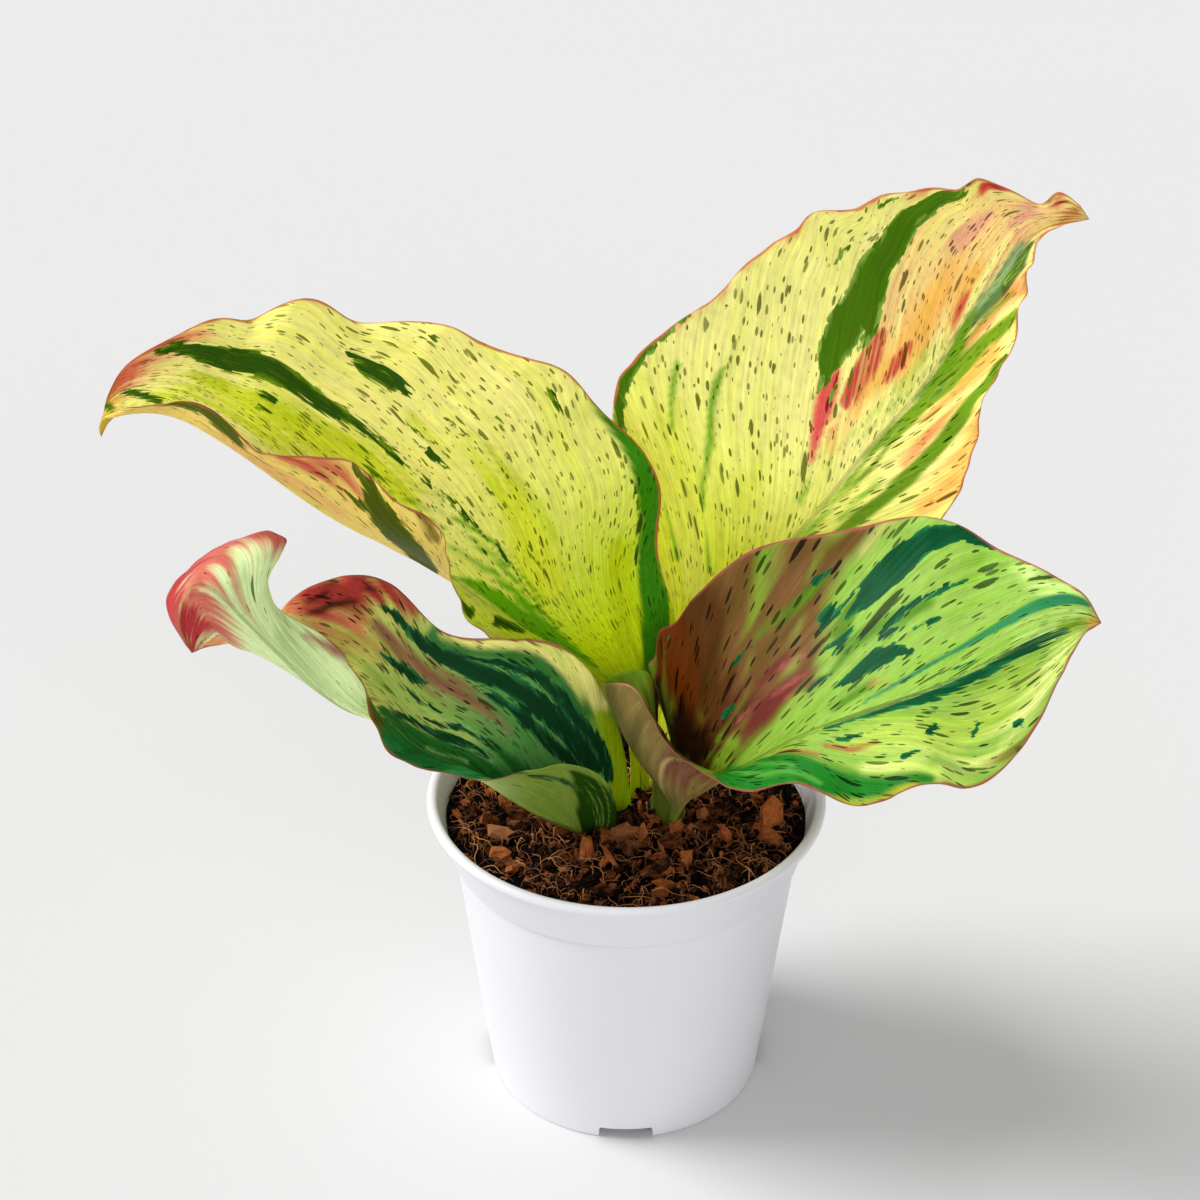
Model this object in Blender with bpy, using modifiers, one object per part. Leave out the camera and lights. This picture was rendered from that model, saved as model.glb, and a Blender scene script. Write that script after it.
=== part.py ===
"""A peacock ginger with four patterned leaves, in a round plastic nursery pot.

Sizes below are in millimetres and turned into metres as each mesh is made. The pot's axis is the
plant's own Z axis, with z = 0 at the foot of the pot, and X to the right seen from the front (-Y).
Everything hangs on one empty, which stands the whole plant on the middle of its own outline.
"""
import math
import random

import bmesh
import bpy
import numpy as np
from mathutils import Matrix

MM = 0.001
POT_AXIS = (9.5, 4.0)          # the leaves reach further to the left and front than the pot's middle
GAP = 0.3                      # clearance between pieces that touch

# Pot
POT_TOP = 100.4
FOOT_RADIUS = 42.2
WALL_SLOPE = 0.1194            # outward, for each millimetre of height
WALL = 1.2
FLOOR = 4.5                    # underside of the raised floor
COLLAR_FOOT = 82.0
COLLAR_TOP = 96.5
LIP_RADIUS = 60.0
LIP_ROUND = 1.65               # half the thickness of the rolled lip
FOOT_RING = 2.6
NOTCH_WIDTH = 16.5
NOTCH_HEIGHT = 4.0
NOTCHES = 4
DRAIN_RADIUS = 4.0
DRAIN_CIRCLE = 27.0
DRAINS = 6
POT_STEPS = 48

# Soil and rhizome
SOIL_TOP = 91.5
CROWN = (4.5, 0.0)             # where the leaves come out of the soil
RHIZOME_RADIUS = 17.0
RHIZOME_RINGS = 4
RHIZOME_FOOT = 58.0
LEAF_FOOT = SOIL_TOP - 2.5     # the leaves are drawn this deep, then cut off level above the crown

# Bark chips on the soil
CHIPS = 18
CHIP_INNER = 29.0
CHIP_OUTER = 45.0
GOLDEN_ANGLE = math.radians(137.5)

# Leaves. Each row is one section across the leaf, from the soil to the tip: the left margin, the
# midrib and the right margin, looking at the upper face with the tip upwards, then how many degrees
# the left and the right half of the blade curl between midrib and margin, cupped upwards.
BACK_LEFT = (
    ((1, 3, 92), (4, 6, 92), (8, 7, 92), 40, 40),
    ((1, 6, 111), (4, 9, 108), (7, 10, 110), 50, 50),
    ((-6, 6, 128), (1, 13, 123), (13, 17, 132), 30, 20),
    ((-25, -2, 145), (-12, 7, 141), (14, 19, 151), 20, 20),
    ((-41, -13, 163), (-29, 5, 153), (9, 22, 172), 20, 25),
    ((-49, -17, 182), (-45, 1, 169), (9, 24, 193), 30, 35),
    ((-51, -18, 199), (-57, -3, 180), (-8, 27, 215), 46, 40),
    ((-63, -18, 208), (-70, -5, 189), (-32, 28, 230), 56, 35),
    ((-77, -17, 220), (-85, -6, 199), (-56, 28, 240), 56, 35),
    ((-97, -15, 220), (-101, -8, 214), (-85, 26, 247), 46, 35),
    ((-112, -11, 232), (-116, -7, 225), (-109, 20, 245), 36, 35),
    ((-127, -7, 232), (-130, -5, 229), (-127, 10, 243), 20, 30),
    ((-139, -4, 228), (-143, -4, 226), (-140, 1, 236), 10, 20),
    ((-145, -3, 220), (-145, -3, 220), (-145, -3, 220), 0, 0),
)
BACK_RIGHT = (
    ((2, 12, 92), (7, 10, 92), (11, 12, 92), 40, 40),
    ((8, 16, 111), (12, 15, 109), (16, 14, 111), 40, 40),
    ((7, 26, 137), (20, 22, 131), (34, 15, 126), 25, 20),
    ((0, 32, 167), (33, 26, 151), (56, 14, 148), 25, 20),
    ((-4, 37, 196), (46, 28, 166), (74, 13, 166), 25, 25),
    ((-2, 40, 218), (59, 30, 182), (89, 12, 184), 30, 30),
    ((13, 42, 233), (70, 32, 197), (98, 13, 205), 30, 30),
    ((31, 42, 250), (81, 33, 211), (100, 14, 225), 30, 30),
    ((50, 40, 268), (90, 33, 226), (107, 16, 239), 30, 30),
    ((70, 37, 274), (96, 31, 241), (109, 19, 253), 30, 30),
    ((88, 33, 280), (104, 29, 255), (111, 22, 263), 30, 30),
    ((106, 29, 279), (112, 26, 268), (114, 24, 270), 20, 20),
    ((126, 24, 273), (126, 24, 273), (126, 24, 273), 0, 0),
)
FRONT_LEFT = (
    ((-5, -13, 92), (-11, -9, 92), (2, -5, 92), 30, 30),
    ((-3, -17, 104), (-14, -13, 95), (1, -4, 103), 20, 30),
    ((-8, -27, 124), (-17, -18, 100), (-1, -3, 118), -30, 30),
    ((-23, -37, 134), (-25, -24, 108), (-6, -3, 135), -30, 30),
    ((-38, -44, 134), (-34, -31, 120), (-19, -7, 155), -40, 40),
    ((-53, -50, 141), (-45, -36, 132), (-38, -14, 162), -40, 50),
    ((-65, -53, 149), (-57, -41, 142), (-53, -16, 166), -30, 60),
    ((-70, -54, 165), (-66, -46, 154), (-65, -16, 180), 0, 75),
    ((-77, -52, 182), (-76, -52, 163), (-80, -18, 184), 30, 90),
    ((-91, -49, 191), (-87, -57, 177), (-95, -24, 179), 40, 90),
    ((-95, -45, 201), (-99, -58, 192), (-100, -34, 173), 40, 80),
    ((-91, -39, 208), (-109, -56, 202), (-105, -42, 176), 40, 60),
    ((-108, -35, 204), (-116, -52, 198), (-109, -45, 179), 40, 40),
    ((-123, -39, 190), (-119, -50, 188), (-114, -47, 179), 20, 20),
    ((-117, -48, 178), (-117, -48, 178), (-117, -48, 178), 0, 0),
)
FRONT_RIGHT = (
    ((18, -2, 92), (14, -9, 92), (7, -4, 92), 60, 60),
    ((15, 1, 109), (14, -12, 98), (9, -1, 133), 20, 40),
    ((12, 3, 122), (15, -14, 102), (2, 3, 141), 20, 40),
    ((9, 5, 131), (16, -16, 106), (-7, -9, 144), 20, 40),
    ((7, 6, 138), (18, -19, 111), (1, -19, 149), 20, 20),
    ((12, 7, 151), (20, -23, 115), (8, -26, 141), 25, -20),
    ((21, 7, 165), (25, -29, 123), (17, -36, 134), 30, -40),
    ((35, 6, 179), (34, -35, 133), (32, -47, 132), 35, -60),
    ((51, 4, 185), (47, -41, 146), (46, -58, 142), 40, -40),
    ((68, 0, 191), (60, -45, 155), (62, -65, 140), 40, -20),
    ((84, -7, 197), (73, -47, 162), (79, -68, 149), 40, 10),
    ((100, -16, 193), (86, -48, 169), (95, -66, 148), 40, 20),
    ((113, -28, 192), (102, -46, 177), (111, -57, 165), 30, 20),
    ((123, -37, 188), (117, -43, 182), (119, -48, 179), 20, 20),
    ((127, -41, 183), (127, -41, 183), (127, -41, 183), 0, 0),
)
LEAVES = {
    "leaf_back_left": (BACK_LEFT, (0.66, 0.76, 0.20)),
    "leaf_back_right": (BACK_RIGHT, (0.84, 0.74, 0.30)),
    "leaf_front_left": (FRONT_LEFT, (0.16, 0.36, 0.12)),
    "leaf_front_right": (FRONT_RIGHT, (0.42, 0.55, 0.20)),
}
LEAF_ACROSS = 10               # grid cells from margin to margin
LEAF_ALONG = 34                # grid cells from soil to tip
RIB_THICKNESS = 1.6
MARGIN_SHARE = 0.45            # thickness at the margin, as a share of the rib's


def clear_scene():
    for item in list(bpy.data.objects):
        bpy.data.objects.remove(item, do_unlink=True)


def new_collection(name):
    group = bpy.data.collections.new(name)
    bpy.context.scene.collection.children.link(group)
    return group


def make_material(name, color, roughness):
    material = bpy.data.materials.new(name)
    material.use_nodes = True
    shader = material.node_tree.nodes["Principled BSDF"]
    shader.inputs["Base Color"].default_value = (*color, 1.0)
    shader.inputs["Roughness"].default_value = roughness
    shader.inputs["Metallic"].default_value = 0.0
    return material


def add_object(name, mesh, group, material=None):
    item = bpy.data.objects.new(name, mesh)
    group.objects.link(item)
    if material:
        mesh.materials.append(material)
    return item


def turned(name, profile, group, material=None, steps=POT_STEPS):
    """A profile of (radius, height) points in millimetres, turned about Z by a Screw modifier."""
    mesh = bpy.data.meshes.new(name)
    points = [(radius * MM, 0.0, height * MM) for radius, height in profile]
    mesh.from_pydata(points, [(i, i + 1) for i in range(len(points) - 1)], [])
    item = add_object(name, mesh, group, material)
    screw = item.modifiers.new("turn", "SCREW")
    screw.steps = steps
    screw.render_steps = steps
    screw.use_merge_vertices = True
    screw.merge_threshold = 0.00001
    return item


def hide_cutter(item):
    item.hide_render = True
    item.display_type = "WIRE"


def cut_away(item, cutter):
    cut = item.modifiers.new("cut_" + cutter.name, "BOOLEAN")
    cut.operation = "DIFFERENCE"
    cut.object = cutter


def wall_radius(height):
    """Outer radius of the pot's tapered body."""
    return FOOT_RADIUS + WALL_SLOPE * height


def collar_radius(height):
    """Outer radius of the collar, which flares faster than the body."""
    share = (height - COLLAR_FOOT - 1.0) / (COLLAR_TOP - COLLAR_FOOT - 1.0)
    foot = wall_radius(COLLAR_FOOT) + 0.9
    return foot + share * (57.3 - foot)


def inner_radius(height):
    """Radius of the pot's inner wall."""
    if height <= COLLAR_FOOT:
        return wall_radius(height) - WALL
    return collar_radius(height) - WALL - 0.3


def pot_profile():
    """From the floor's centre up the inside, over the lip, down the outside and in under the floor."""
    turns = [math.radians(angle) for angle in range(160, -81, -40)]
    lip = [(LIP_RADIUS - LIP_ROUND + LIP_ROUND * math.cos(turn),
            POT_TOP - LIP_ROUND + LIP_ROUND * math.sin(turn)) for turn in turns]
    return [
        (0.0, FLOOR + WALL),
        (inner_radius(8.0) - 2.5, FLOOR + WALL),
        (inner_radius(8.0), 8.0),
        (inner_radius(COLLAR_FOOT), COLLAR_FOOT),
        (inner_radius(COLLAR_FOOT + 1.5), COLLAR_FOOT + 1.5),
        (inner_radius(COLLAR_TOP), COLLAR_TOP),
        *lip,
        (collar_radius(COLLAR_TOP), COLLAR_TOP),
        (collar_radius(COLLAR_FOOT + 1.0), COLLAR_FOOT + 1.0),
        (wall_radius(COLLAR_FOOT), COLLAR_FOOT),
        (wall_radius(1.2), 1.2),
        (FOOT_RADIUS - 0.5, 0.0),
        (FOOT_RADIUS - FOOT_RING, 0.0),
        (FOOT_RADIUS - FOOT_RING - 0.3, FLOOR),
        (0.0, FLOOR),
    ]


def make_notch_cutter(index, cutters):
    """A rounded slot through the foot ring, which lets water run out from under the pot."""
    mesh = bpy.data.meshes.new(f"notch_{index}")
    shape = bmesh.new()
    bmesh.ops.create_cube(shape, size=1.0)
    size = (NOTCH_WIDTH * MM, 12.0 * MM, 2.0 * NOTCH_HEIGHT * MM)
    bmesh.ops.scale(shape, vec=size, verts=shape.verts)
    sides = [e for e in shape.edges if abs(e.verts[0].co.y - e.verts[1].co.y) > 0.005]
    bmesh.ops.bevel(shape, geom=sides, offset=0.0012, segments=3, profile=0.5, affect="EDGES")
    bmesh.ops.translate(shape, vec=(0.0, -FOOT_RADIUS * MM, 0.0), verts=shape.verts)
    shape.to_mesh(mesh)
    shape.free()
    cutter = add_object(f"notch_{index}", mesh, cutters)
    cutter.rotation_euler.z = index * math.tau / NOTCHES
    hide_cutter(cutter)
    return cutter


def make_drain_cutter(index, radius, angle, cutters):
    mesh = bpy.data.meshes.new(f"drain_{index}")
    shape = bmesh.new()
    bmesh.ops.create_cone(shape, cap_ends=True, segments=12, radius1=DRAIN_RADIUS * MM,
                          radius2=DRAIN_RADIUS * MM, depth=0.012)
    shape.to_mesh(mesh)
    shape.free()
    cutter = add_object(f"drain_{index}", mesh, cutters)
    cutter.location = (radius * MM * math.cos(angle), radius * MM * math.sin(angle), FLOOR * MM)
    hide_cutter(cutter)
    return cutter


def make_pot(group, cutters):
    plastic = make_material("white_plastic", (0.90, 0.90, 0.92), 0.38)
    pot = turned("pot", pot_profile(), group, plastic)
    cut_tools = [make_notch_cutter(k, cutters) for k in range(NOTCHES)]
    cut_tools.append(make_drain_cutter(0, 0.0, 0.0, cutters))
    for k in range(DRAINS):
        angle = (k + 0.5) * math.tau / DRAINS
        cut_tools.append(make_drain_cutter(k + 1, DRAIN_CIRCLE, angle, cutters))
    for tool in cut_tools:
        cut_away(pot, tool)
    return [pot, *cut_tools]


def rhizome_profile(clearance):
    """A fleshy rootstock: a flat crown, ringed sides and a tapered foot. The pocket stands proud."""
    top = SOIL_TOP + 10.0 * clearance
    points = [(0.0, top), (RHIZOME_RADIUS - 1.5 + clearance, top)]
    ring = (SOIL_TOP - 1.0 - RHIZOME_FOOT - 9.0) / RHIZOME_RINGS
    for k in range(2 * RHIZOME_RINGS + 1):
        height = SOIL_TOP - 1.0 - 0.5 * k * ring
        swell = 0.8 if k % 2 else 0.0
        points.append((RHIZOME_RADIUS - 0.6 * k + swell + clearance, height))
    points.append((7.0 + clearance, RHIZOME_FOOT + 2.0 - clearance))
    points.append((0.0, RHIZOME_FOOT - clearance))
    return points


def make_soil_and_rhizome(group, cutters):
    coir = make_material("coir_substrate", (0.10, 0.045, 0.025), 0.95)
    flesh = make_material("rhizome_flesh", (0.55, 0.40, 0.24), 0.7)
    low = FLOOR + WALL + GAP
    heights = (8.0, 45.0, COLLAR_FOOT, COLLAR_FOOT + 1.5, SOIL_TOP - 0.5)
    side = [(inner_radius(height) - GAP, height) for height in reversed(heights)]
    profile = [(0.0, SOIL_TOP), (side[0][0] - 1.0, SOIL_TOP), *side]
    profile += [(inner_radius(8.0) - 2.8, low), (0.0, low)]
    soil = turned("soil", profile, group, coir)
    pocket = turned("rhizome_pocket", rhizome_profile(GAP), cutters, steps=24)
    pocket.location = (CROWN[0] * MM, CROWN[1] * MM, 0.0)
    hide_cutter(pocket)
    cut_away(soil, pocket)
    rhizome = turned("rhizome", rhizome_profile(0.0), group, flesh, steps=24)
    rhizome.location = pocket.location
    return [soil, pocket, rhizome]


def spline(points, where):
    """Natural cubic spline through evenly spaced rows of points, read at places from 0 to 1."""
    last = len(points) - 1
    inner = np.arange(1, last)
    system = np.eye(last + 1)
    system[inner, inner - 1] = 1.0
    system[inner, inner] = 4.0
    system[inner, inner + 1] = 1.0
    bend = np.zeros_like(points)
    bend[1:last] = 6.0 * (points[2:] - 2.0 * points[1:-1] + points[:-2])
    bend = np.linalg.solve(system, bend)
    place = np.clip(where, 0.0, 1.0) * last
    cell = np.minimum(place.astype(int), last - 1)
    b = (place - cell)[:, None]
    a = 1.0 - b
    curve = (a ** 3 - a) * bend[cell] + (b ** 3 - b) * bend[cell + 1]
    return a * points[cell] + b * points[cell + 1] + curve / 6.0


def unit(vectors):
    return vectors / np.maximum(np.linalg.norm(vectors, axis=-1, keepdims=True), 1e-9)


def half_blade(rib, margin, curl, side, share):
    """Arcs from the rib to one margin. Each arc turns through its curl and bulges underneath."""
    chord = margin - rib
    across = unit(chord)
    upward = unit(np.cross(across, unit(np.gradient(rib, axis=0)))) * side
    turn = np.where(np.abs(curl) < 0.01, 0.01, curl)[:, None]
    radius = np.linalg.norm(chord, axis=1, keepdims=True) / (2.0 * np.sin(turn / 2.0))
    angle = turn * (share[None, :] - 0.5)
    along = (radius * np.sin(angle))[..., None] * across[:, None, :]
    sag = (radius * (np.cos(angle) - np.cos(turn / 2.0)))[..., None] * upward[:, None, :]
    return ((rib + margin) / 2.0)[:, None, :] + along - sag


def leaf_points(rows):
    """Grid of points (along, across, xyz) in millimetres, from one margin to the other."""
    table = np.array([[*left, *rib, *right, *curls] for left, rib, right, *curls in rows], float)
    read = spline(table, np.linspace(0.0, 1.0, LEAF_ALONG + 1))
    read[0, 2:9:3] = LEAF_FOOT
    left, rib, right = read[:, 0:3], read[:, 3:6], read[:, 6:9]
    curl = np.radians(read[:, 9:11])
    share = np.linspace(0.0, 1.0, LEAF_ACROSS // 2 + 1)
    left_half = half_blade(rib, left, curl[:, 0], -1.0, share)[:, :0:-1]
    right_half = half_blade(rib, right, curl[:, 1], 1.0, share)
    return np.concatenate([left_half, right_half], axis=1)


def leaf_mesh(name, points):
    """Quads over the grid, closed at the tip by a fan, because the last row is a single point."""
    count = LEAF_ACROSS + 1
    grid = np.arange(LEAF_ALONG * count).reshape(LEAF_ALONG, count)
    corners = (grid[:-1, :-1], grid[:-1, 1:], grid[1:, 1:], grid[1:, :-1])
    faces = np.stack([corner.ravel() for corner in corners], axis=1).tolist()
    tip = LEAF_ALONG * count
    faces += [(first, second, tip) for first, second in zip(grid[-1, :-1], grid[-1, 1:])]
    places = points[:-1].reshape(-1, 3).tolist() + [points[-1, 0].tolist()]
    mesh = bpy.data.meshes.new(name)
    mesh.from_pydata(places, [], faces)
    mesh.shade_smooth()
    return mesh


def make_leaf(name, rows, color, group, ground):
    """One grown piece, petiole and blade: a lofted sheet given its thickness by Solidify."""
    mesh = leaf_mesh(name, leaf_points(rows) * MM)
    item = add_object(name, mesh, group, make_material(name + "_green", color, 0.4))
    rib = item.vertex_groups.new(name="rib")
    half = LEAF_ACROSS // 2
    for column in range(LEAF_ACROSS + 1):
        members = [row * (LEAF_ACROSS + 1) + column for row in range(LEAF_ALONG)]
        rib.add(members, 1.0 - (1.0 - MARGIN_SHARE) * abs(column - half) / half, "REPLACE")
    rib.add([len(mesh.vertices) - 1], MARGIN_SHARE, "REPLACE")
    thick = item.modifiers.new("thickness", "SOLIDIFY")
    thick.thickness = RIB_THICKNESS * MM
    thick.offset = 0.0
    thick.vertex_group = rib.name
    thick.use_rim = True
    cut_away(item, ground)
    return item


def make_ground_cutter(cutters):
    """A block whose top is just above the crown, so that each petiole ends in a level face."""
    mesh = bpy.data.meshes.new("ground")
    shape = bmesh.new()
    bmesh.ops.create_cube(shape, size=0.1)
    shape.to_mesh(mesh)
    shape.free()
    ground = add_object("ground", mesh, cutters)
    ground.location.z = (SOIL_TOP + GAP) * MM - 0.05
    hide_cutter(ground)
    return ground


def make_chip(index, dice, group, material):
    """A flat splinter of bark lying on the soil, its outline a lopsided polygon."""
    name = f"bark_chip_{index + 1:02d}"
    mesh = bpy.data.meshes.new(name)
    shape = bmesh.new()
    length = dice.uniform(3.0, 5.6)
    height = dice.uniform(1.2, 2.4)
    bmesh.ops.create_cone(shape, cap_ends=True, segments=6, radius1=length * MM,
                          radius2=length * 0.82 * MM, depth=height * MM)
    squeeze = dice.uniform(0.45, 0.8)
    for vertex in shape.verts:
        vertex.co.x *= dice.uniform(0.8, 1.15)
        vertex.co.y *= squeeze * dice.uniform(0.85, 1.15)
    tilt = Matrix.Rotation(math.radians(dice.uniform(-9.0, 9.0)), 3, "X")
    lie = Matrix.Rotation(dice.uniform(0.0, math.tau), 3, "Z") @ tilt
    bmesh.ops.rotate(shape, matrix=lie, verts=shape.verts)
    share = (index + 0.5) / CHIPS
    radius = math.sqrt(CHIP_INNER ** 2 + share * (CHIP_OUTER ** 2 - CHIP_INNER ** 2))
    angle = index * GOLDEN_ANGLE
    lowest = min(vertex.co.z for vertex in shape.verts)
    place = (radius * MM * math.cos(angle), radius * MM * math.sin(angle),
             (SOIL_TOP + GAP) * MM - lowest)
    bmesh.ops.translate(shape, vec=place, verts=shape.verts)
    bmesh.ops.triangulate(shape, faces=shape.faces)
    shape.to_mesh(mesh)
    shape.free()
    return add_object(name, mesh, group, material)


def make_chips(group):
    bark = make_material("coir_chip", (0.24, 0.11, 0.06), 0.9)
    dice = random.Random(12)
    return [make_chip(k, dice, group, bark) for k in range(CHIPS)]


clear_scene()
plant = new_collection("potted_peacock_ginger")
cutters = new_collection("cutters")
pieces = make_pot(plant, cutters) + make_soil_and_rhizome(plant, cutters) + make_chips(plant)
ground_cutter = make_ground_cutter(cutters)
pieces.append(ground_cutter)
for leaf_name, (leaf_rows, leaf_color) in LEAVES.items():
    pieces.append(make_leaf(leaf_name, leaf_rows, leaf_color, plant, ground_cutter))

pot_axis = bpy.data.objects.new("pot_axis", None)
plant.objects.link(pot_axis)
pot_axis.location = (POT_AXIS[0] * MM, POT_AXIS[1] * MM, 0.0)
for piece in pieces:
    piece.parent = pot_axis
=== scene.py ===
"""A potted peacock ginger: four patterned leaves growing out of coir, in a white nursery pot.

Lengths are in millimetres, measured from the pot's own axis and foot, until a mesh is made.
"""
import math

import bpy
import numpy as np
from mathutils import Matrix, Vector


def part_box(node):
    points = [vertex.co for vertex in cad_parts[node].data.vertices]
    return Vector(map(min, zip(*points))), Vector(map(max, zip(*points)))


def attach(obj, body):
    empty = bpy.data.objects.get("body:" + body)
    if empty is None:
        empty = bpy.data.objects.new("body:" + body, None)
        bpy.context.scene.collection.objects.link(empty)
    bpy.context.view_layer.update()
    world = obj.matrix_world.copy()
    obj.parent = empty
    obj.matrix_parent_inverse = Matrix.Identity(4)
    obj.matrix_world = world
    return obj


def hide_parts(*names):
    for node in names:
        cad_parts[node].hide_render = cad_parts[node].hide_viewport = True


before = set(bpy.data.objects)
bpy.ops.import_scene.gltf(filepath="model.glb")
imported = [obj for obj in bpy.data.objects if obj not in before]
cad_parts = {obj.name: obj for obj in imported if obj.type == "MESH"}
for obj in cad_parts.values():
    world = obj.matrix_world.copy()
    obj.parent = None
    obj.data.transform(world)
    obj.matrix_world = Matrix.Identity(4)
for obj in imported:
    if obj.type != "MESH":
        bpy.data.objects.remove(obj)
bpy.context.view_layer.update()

# ---------------------------------------------------------------------------------------------
# Pot. A round nursery pot, injection moulded in one shot of white polypropylene: a tapered wall,
# a flared collar with a rolled lip, a foot ring with four drainage notches, and a raised floor
# with drain holes. The tool leaves it satin, with a faint grain.

MM = 0.001
pot_low, pot_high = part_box("pot")
POT_AXIS = ((pot_low[0] + pot_high[0]) / 2.0, (pot_low[1] + pot_high[1]) / 2.0, pot_low[2])
POT_TOP = (pot_high[2] - pot_low[2]) / MM
LIP_RADIUS = (pot_high[0] - pot_low[0]) / 2.0 / MM
LIP_ROUND = 1.65               # half the thickness of the rolled lip
FOOT_RADIUS = 42.2
FOOT_RING = 2.6
WALL_SLOPE = 0.1194            # outward, for each millimetre of height
WALL = 1.2
FLOOR = 4.5                    # underside of the raised floor
COLLAR_FOOT = 82.0
COLLAR_STEP = 1.2              # how far the collar stands out from the body
COLLAR_TOP = 96.5
COLLAR_RADIUS = 57.3           # just under the lip
COLLAR_WALL = WALL + 0.3
NOTCHES = 4
NOTCH_HALF = 8.25
NOTCH_HEIGHT = 4.0
NOTCH_CORNER = 1.3
DRAINS = 6
DRAIN_RADIUS = 4.0
DRAIN_CIRCLE = 27.0
DRAIN_SIDES = 32
POT_TURNS = 240


def linear(*shade):
    """A colour given as 0 to 255 on a screen, as the linear light that a shader works in."""
    share = np.array(shade, float) / 255.0
    return np.where(share <= 0.04045, share / 12.92, ((share + 0.055) / 1.055) ** 2.4)


def paint(*shade):
    """The same, as a shader's opaque colour."""
    return (*linear(*shade), 1.0)


class Value:
    """A shader socket in a formula. Each + - or * is one Math node, or one Vector Math node where
    the other side is a tuple. Square brackets reach the other outputs of the socket's node."""

    def __init__(self, socket):
        self.socket = socket
        self.tree = socket.id_data

    def __getitem__(self, key):
        return Value(self.socket.node.outputs[key])

    def __add__(self, other):
        return calc("ADD", self, other)

    def __sub__(self, other):
        return calc("SUBTRACT", self, other)

    def __mul__(self, other):
        return calc("MULTIPLY", self, other)


def node(kind, inputs=None, tree=None, **settings):
    """The first output of a new shader node. Values are linked to its inputs, the rest is set."""
    inputs = inputs or {}
    if tree is None:
        tree = next(value.tree for value in inputs.values() if isinstance(value, Value))
    made = tree.nodes.new("ShaderNode" + kind)
    for key, value in settings.items():
        setattr(made, key, value)
    for key, value in inputs.items():
        if isinstance(value, Value):
            tree.links.new(value.socket, made.inputs[key])
        else:
            made.inputs[key].default_value = value
    return Value(made.outputs[0])


def calc(operation, *values):
    """One Math node, or one Vector Math node where a value is a tuple."""
    kind = "VectorMath" if any(isinstance(value, tuple) for value in values) else "Math"
    return node(kind, dict(enumerate(values)), operation=operation)


def ramp(value, low, high, start=0.0, end=1.0):
    """Start below low, end above high, and a smooth S between them."""
    places = {"Value": value, "From Min": low, "From Max": high, "To Min": start, "To Max": end}
    return node("MapRange", places, interpolation_type="SMOOTHSTEP")


def blend(share, first, second, how="MIX"):
    """Two colours mixed by share."""
    return node("Mix", {0: share, 6: first, 7: second}, data_type="RGBA", blend_type=how)[2]


def noise(place, scale, detail=3.0, roughness=0.55):
    """Smooth noise from 0 to 1 at a place."""
    places = {"Vector": place, "Scale": scale, "Detail": detail, "Roughness": roughness}
    return node("TexNoise", places)


def bump(height, depth, strength=1.0):
    """The normal of a surface with this height, in units of depth metres."""
    return node("Bump", {"Height": height, "Distance": depth, "Strength": strength})


def feed(target, **values):
    """Links values to the sockets of a shader, or of a group's output, that have their names."""
    for key, value in values.items():
        value.tree.links.new(value.socket, target.inputs[key.replace("_", " ")])


def new_material(name, roughness, **sockets):
    """A material and its Principled shader, with the constants set on the shader's own sockets."""
    made = bpy.data.materials.new(name)
    made.use_nodes = True
    shader = made.node_tree.nodes["Principled BSDF"]
    for key, value in dict(sockets, Roughness=roughness).items():
        shader.inputs[key.replace("_", " ")].default_value = value
    return made, shader


def object_place(material):
    """Each point's place on the object, in metres."""
    return node("TexCoord", tree=material.node_tree)["Object"]


def new_object(name, points, faces):
    """An object whose mesh is given in millimetres in the pot's frame."""
    mesh = bpy.data.meshes.new(name)
    mesh.from_pydata((np.asarray(points).reshape(-1, 3) * MM + POT_AXIS).tolist(), [], faces)
    made = bpy.data.objects.new(name, mesh)
    bpy.context.scene.collection.objects.link(made)
    return made


def new_piece(name, points, faces, material, soft=True):
    """An object that rides with the plant and takes its finish from one slot."""
    piece = new_object(name, points, faces)
    piece.data.materials.append(material)
    if soft:
        piece.data.shade_smooth()
    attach(piece, "root")
    return piece


def grid_faces(rows, columns, closed_rows=False, closed_columns=False):
    """Quads over a grid of rows × columns, wrapped round where the grid is closed. They face the
    way that a screw turned from the rows' direction to the columns' would travel."""
    index = np.arange(rows * columns).reshape(rows, columns)
    if closed_rows:
        index = np.vstack([index, index[:1]])
    if closed_columns:
        index = np.hstack([index, index[:, :1]])
    corners = (index[:-1, :-1], index[1:, :-1], index[1:, 1:], index[:-1, 1:])
    return np.stack([corner.ravel() for corner in corners], axis=1)


def tube_faces(count, rings, sides, order=1):
    """Quads between the rings of each closed tube, and one face over each end. They face out where
    the rings run clockwise about the tube's direction, and with order -1 where they don't."""
    first = np.arange(count)[:, None, None] * rings * sides
    around = grid_faces(rings, sides, closed_columns=True)
    k = np.arange(sides)
    ends = np.stack([k, (rings - 1) * sides + k[::-1]])
    return ((first + around[:, ::order]).reshape(-1, 4).tolist()
            + (first + ends[:, ::order]).reshape(-1, sides).tolist())


def rounded(corners):
    """A profile with each corner (r, z, radius) replaced by a short parabola that starts and ends
    one radius away from it: (1-s)²·before + 2s(1-s)·corner + s²·after."""
    corners = np.array(corners, float)
    places, reach = corners[:, :2], corners[1:-1, 2:]
    before = places[:-2] - places[1:-1]
    after = places[2:] - places[1:-1]
    start = places[1:-1] + before / np.linalg.norm(before, axis=1, keepdims=True) * reach
    stop = places[1:-1] + after / np.linalg.norm(after, axis=1, keepdims=True) * reach
    s = np.linspace(0.0, 1.0, 5)[None, :, None]
    arcs = (1 - s) ** 2 * start[:, None] + 2 * s * (1 - s) * places[1:-1, None]
    arcs += s ** 2 * stop[:, None]
    return np.concatenate([places[:1], arcs.reshape(-1, 2), places[-1:]])


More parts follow.
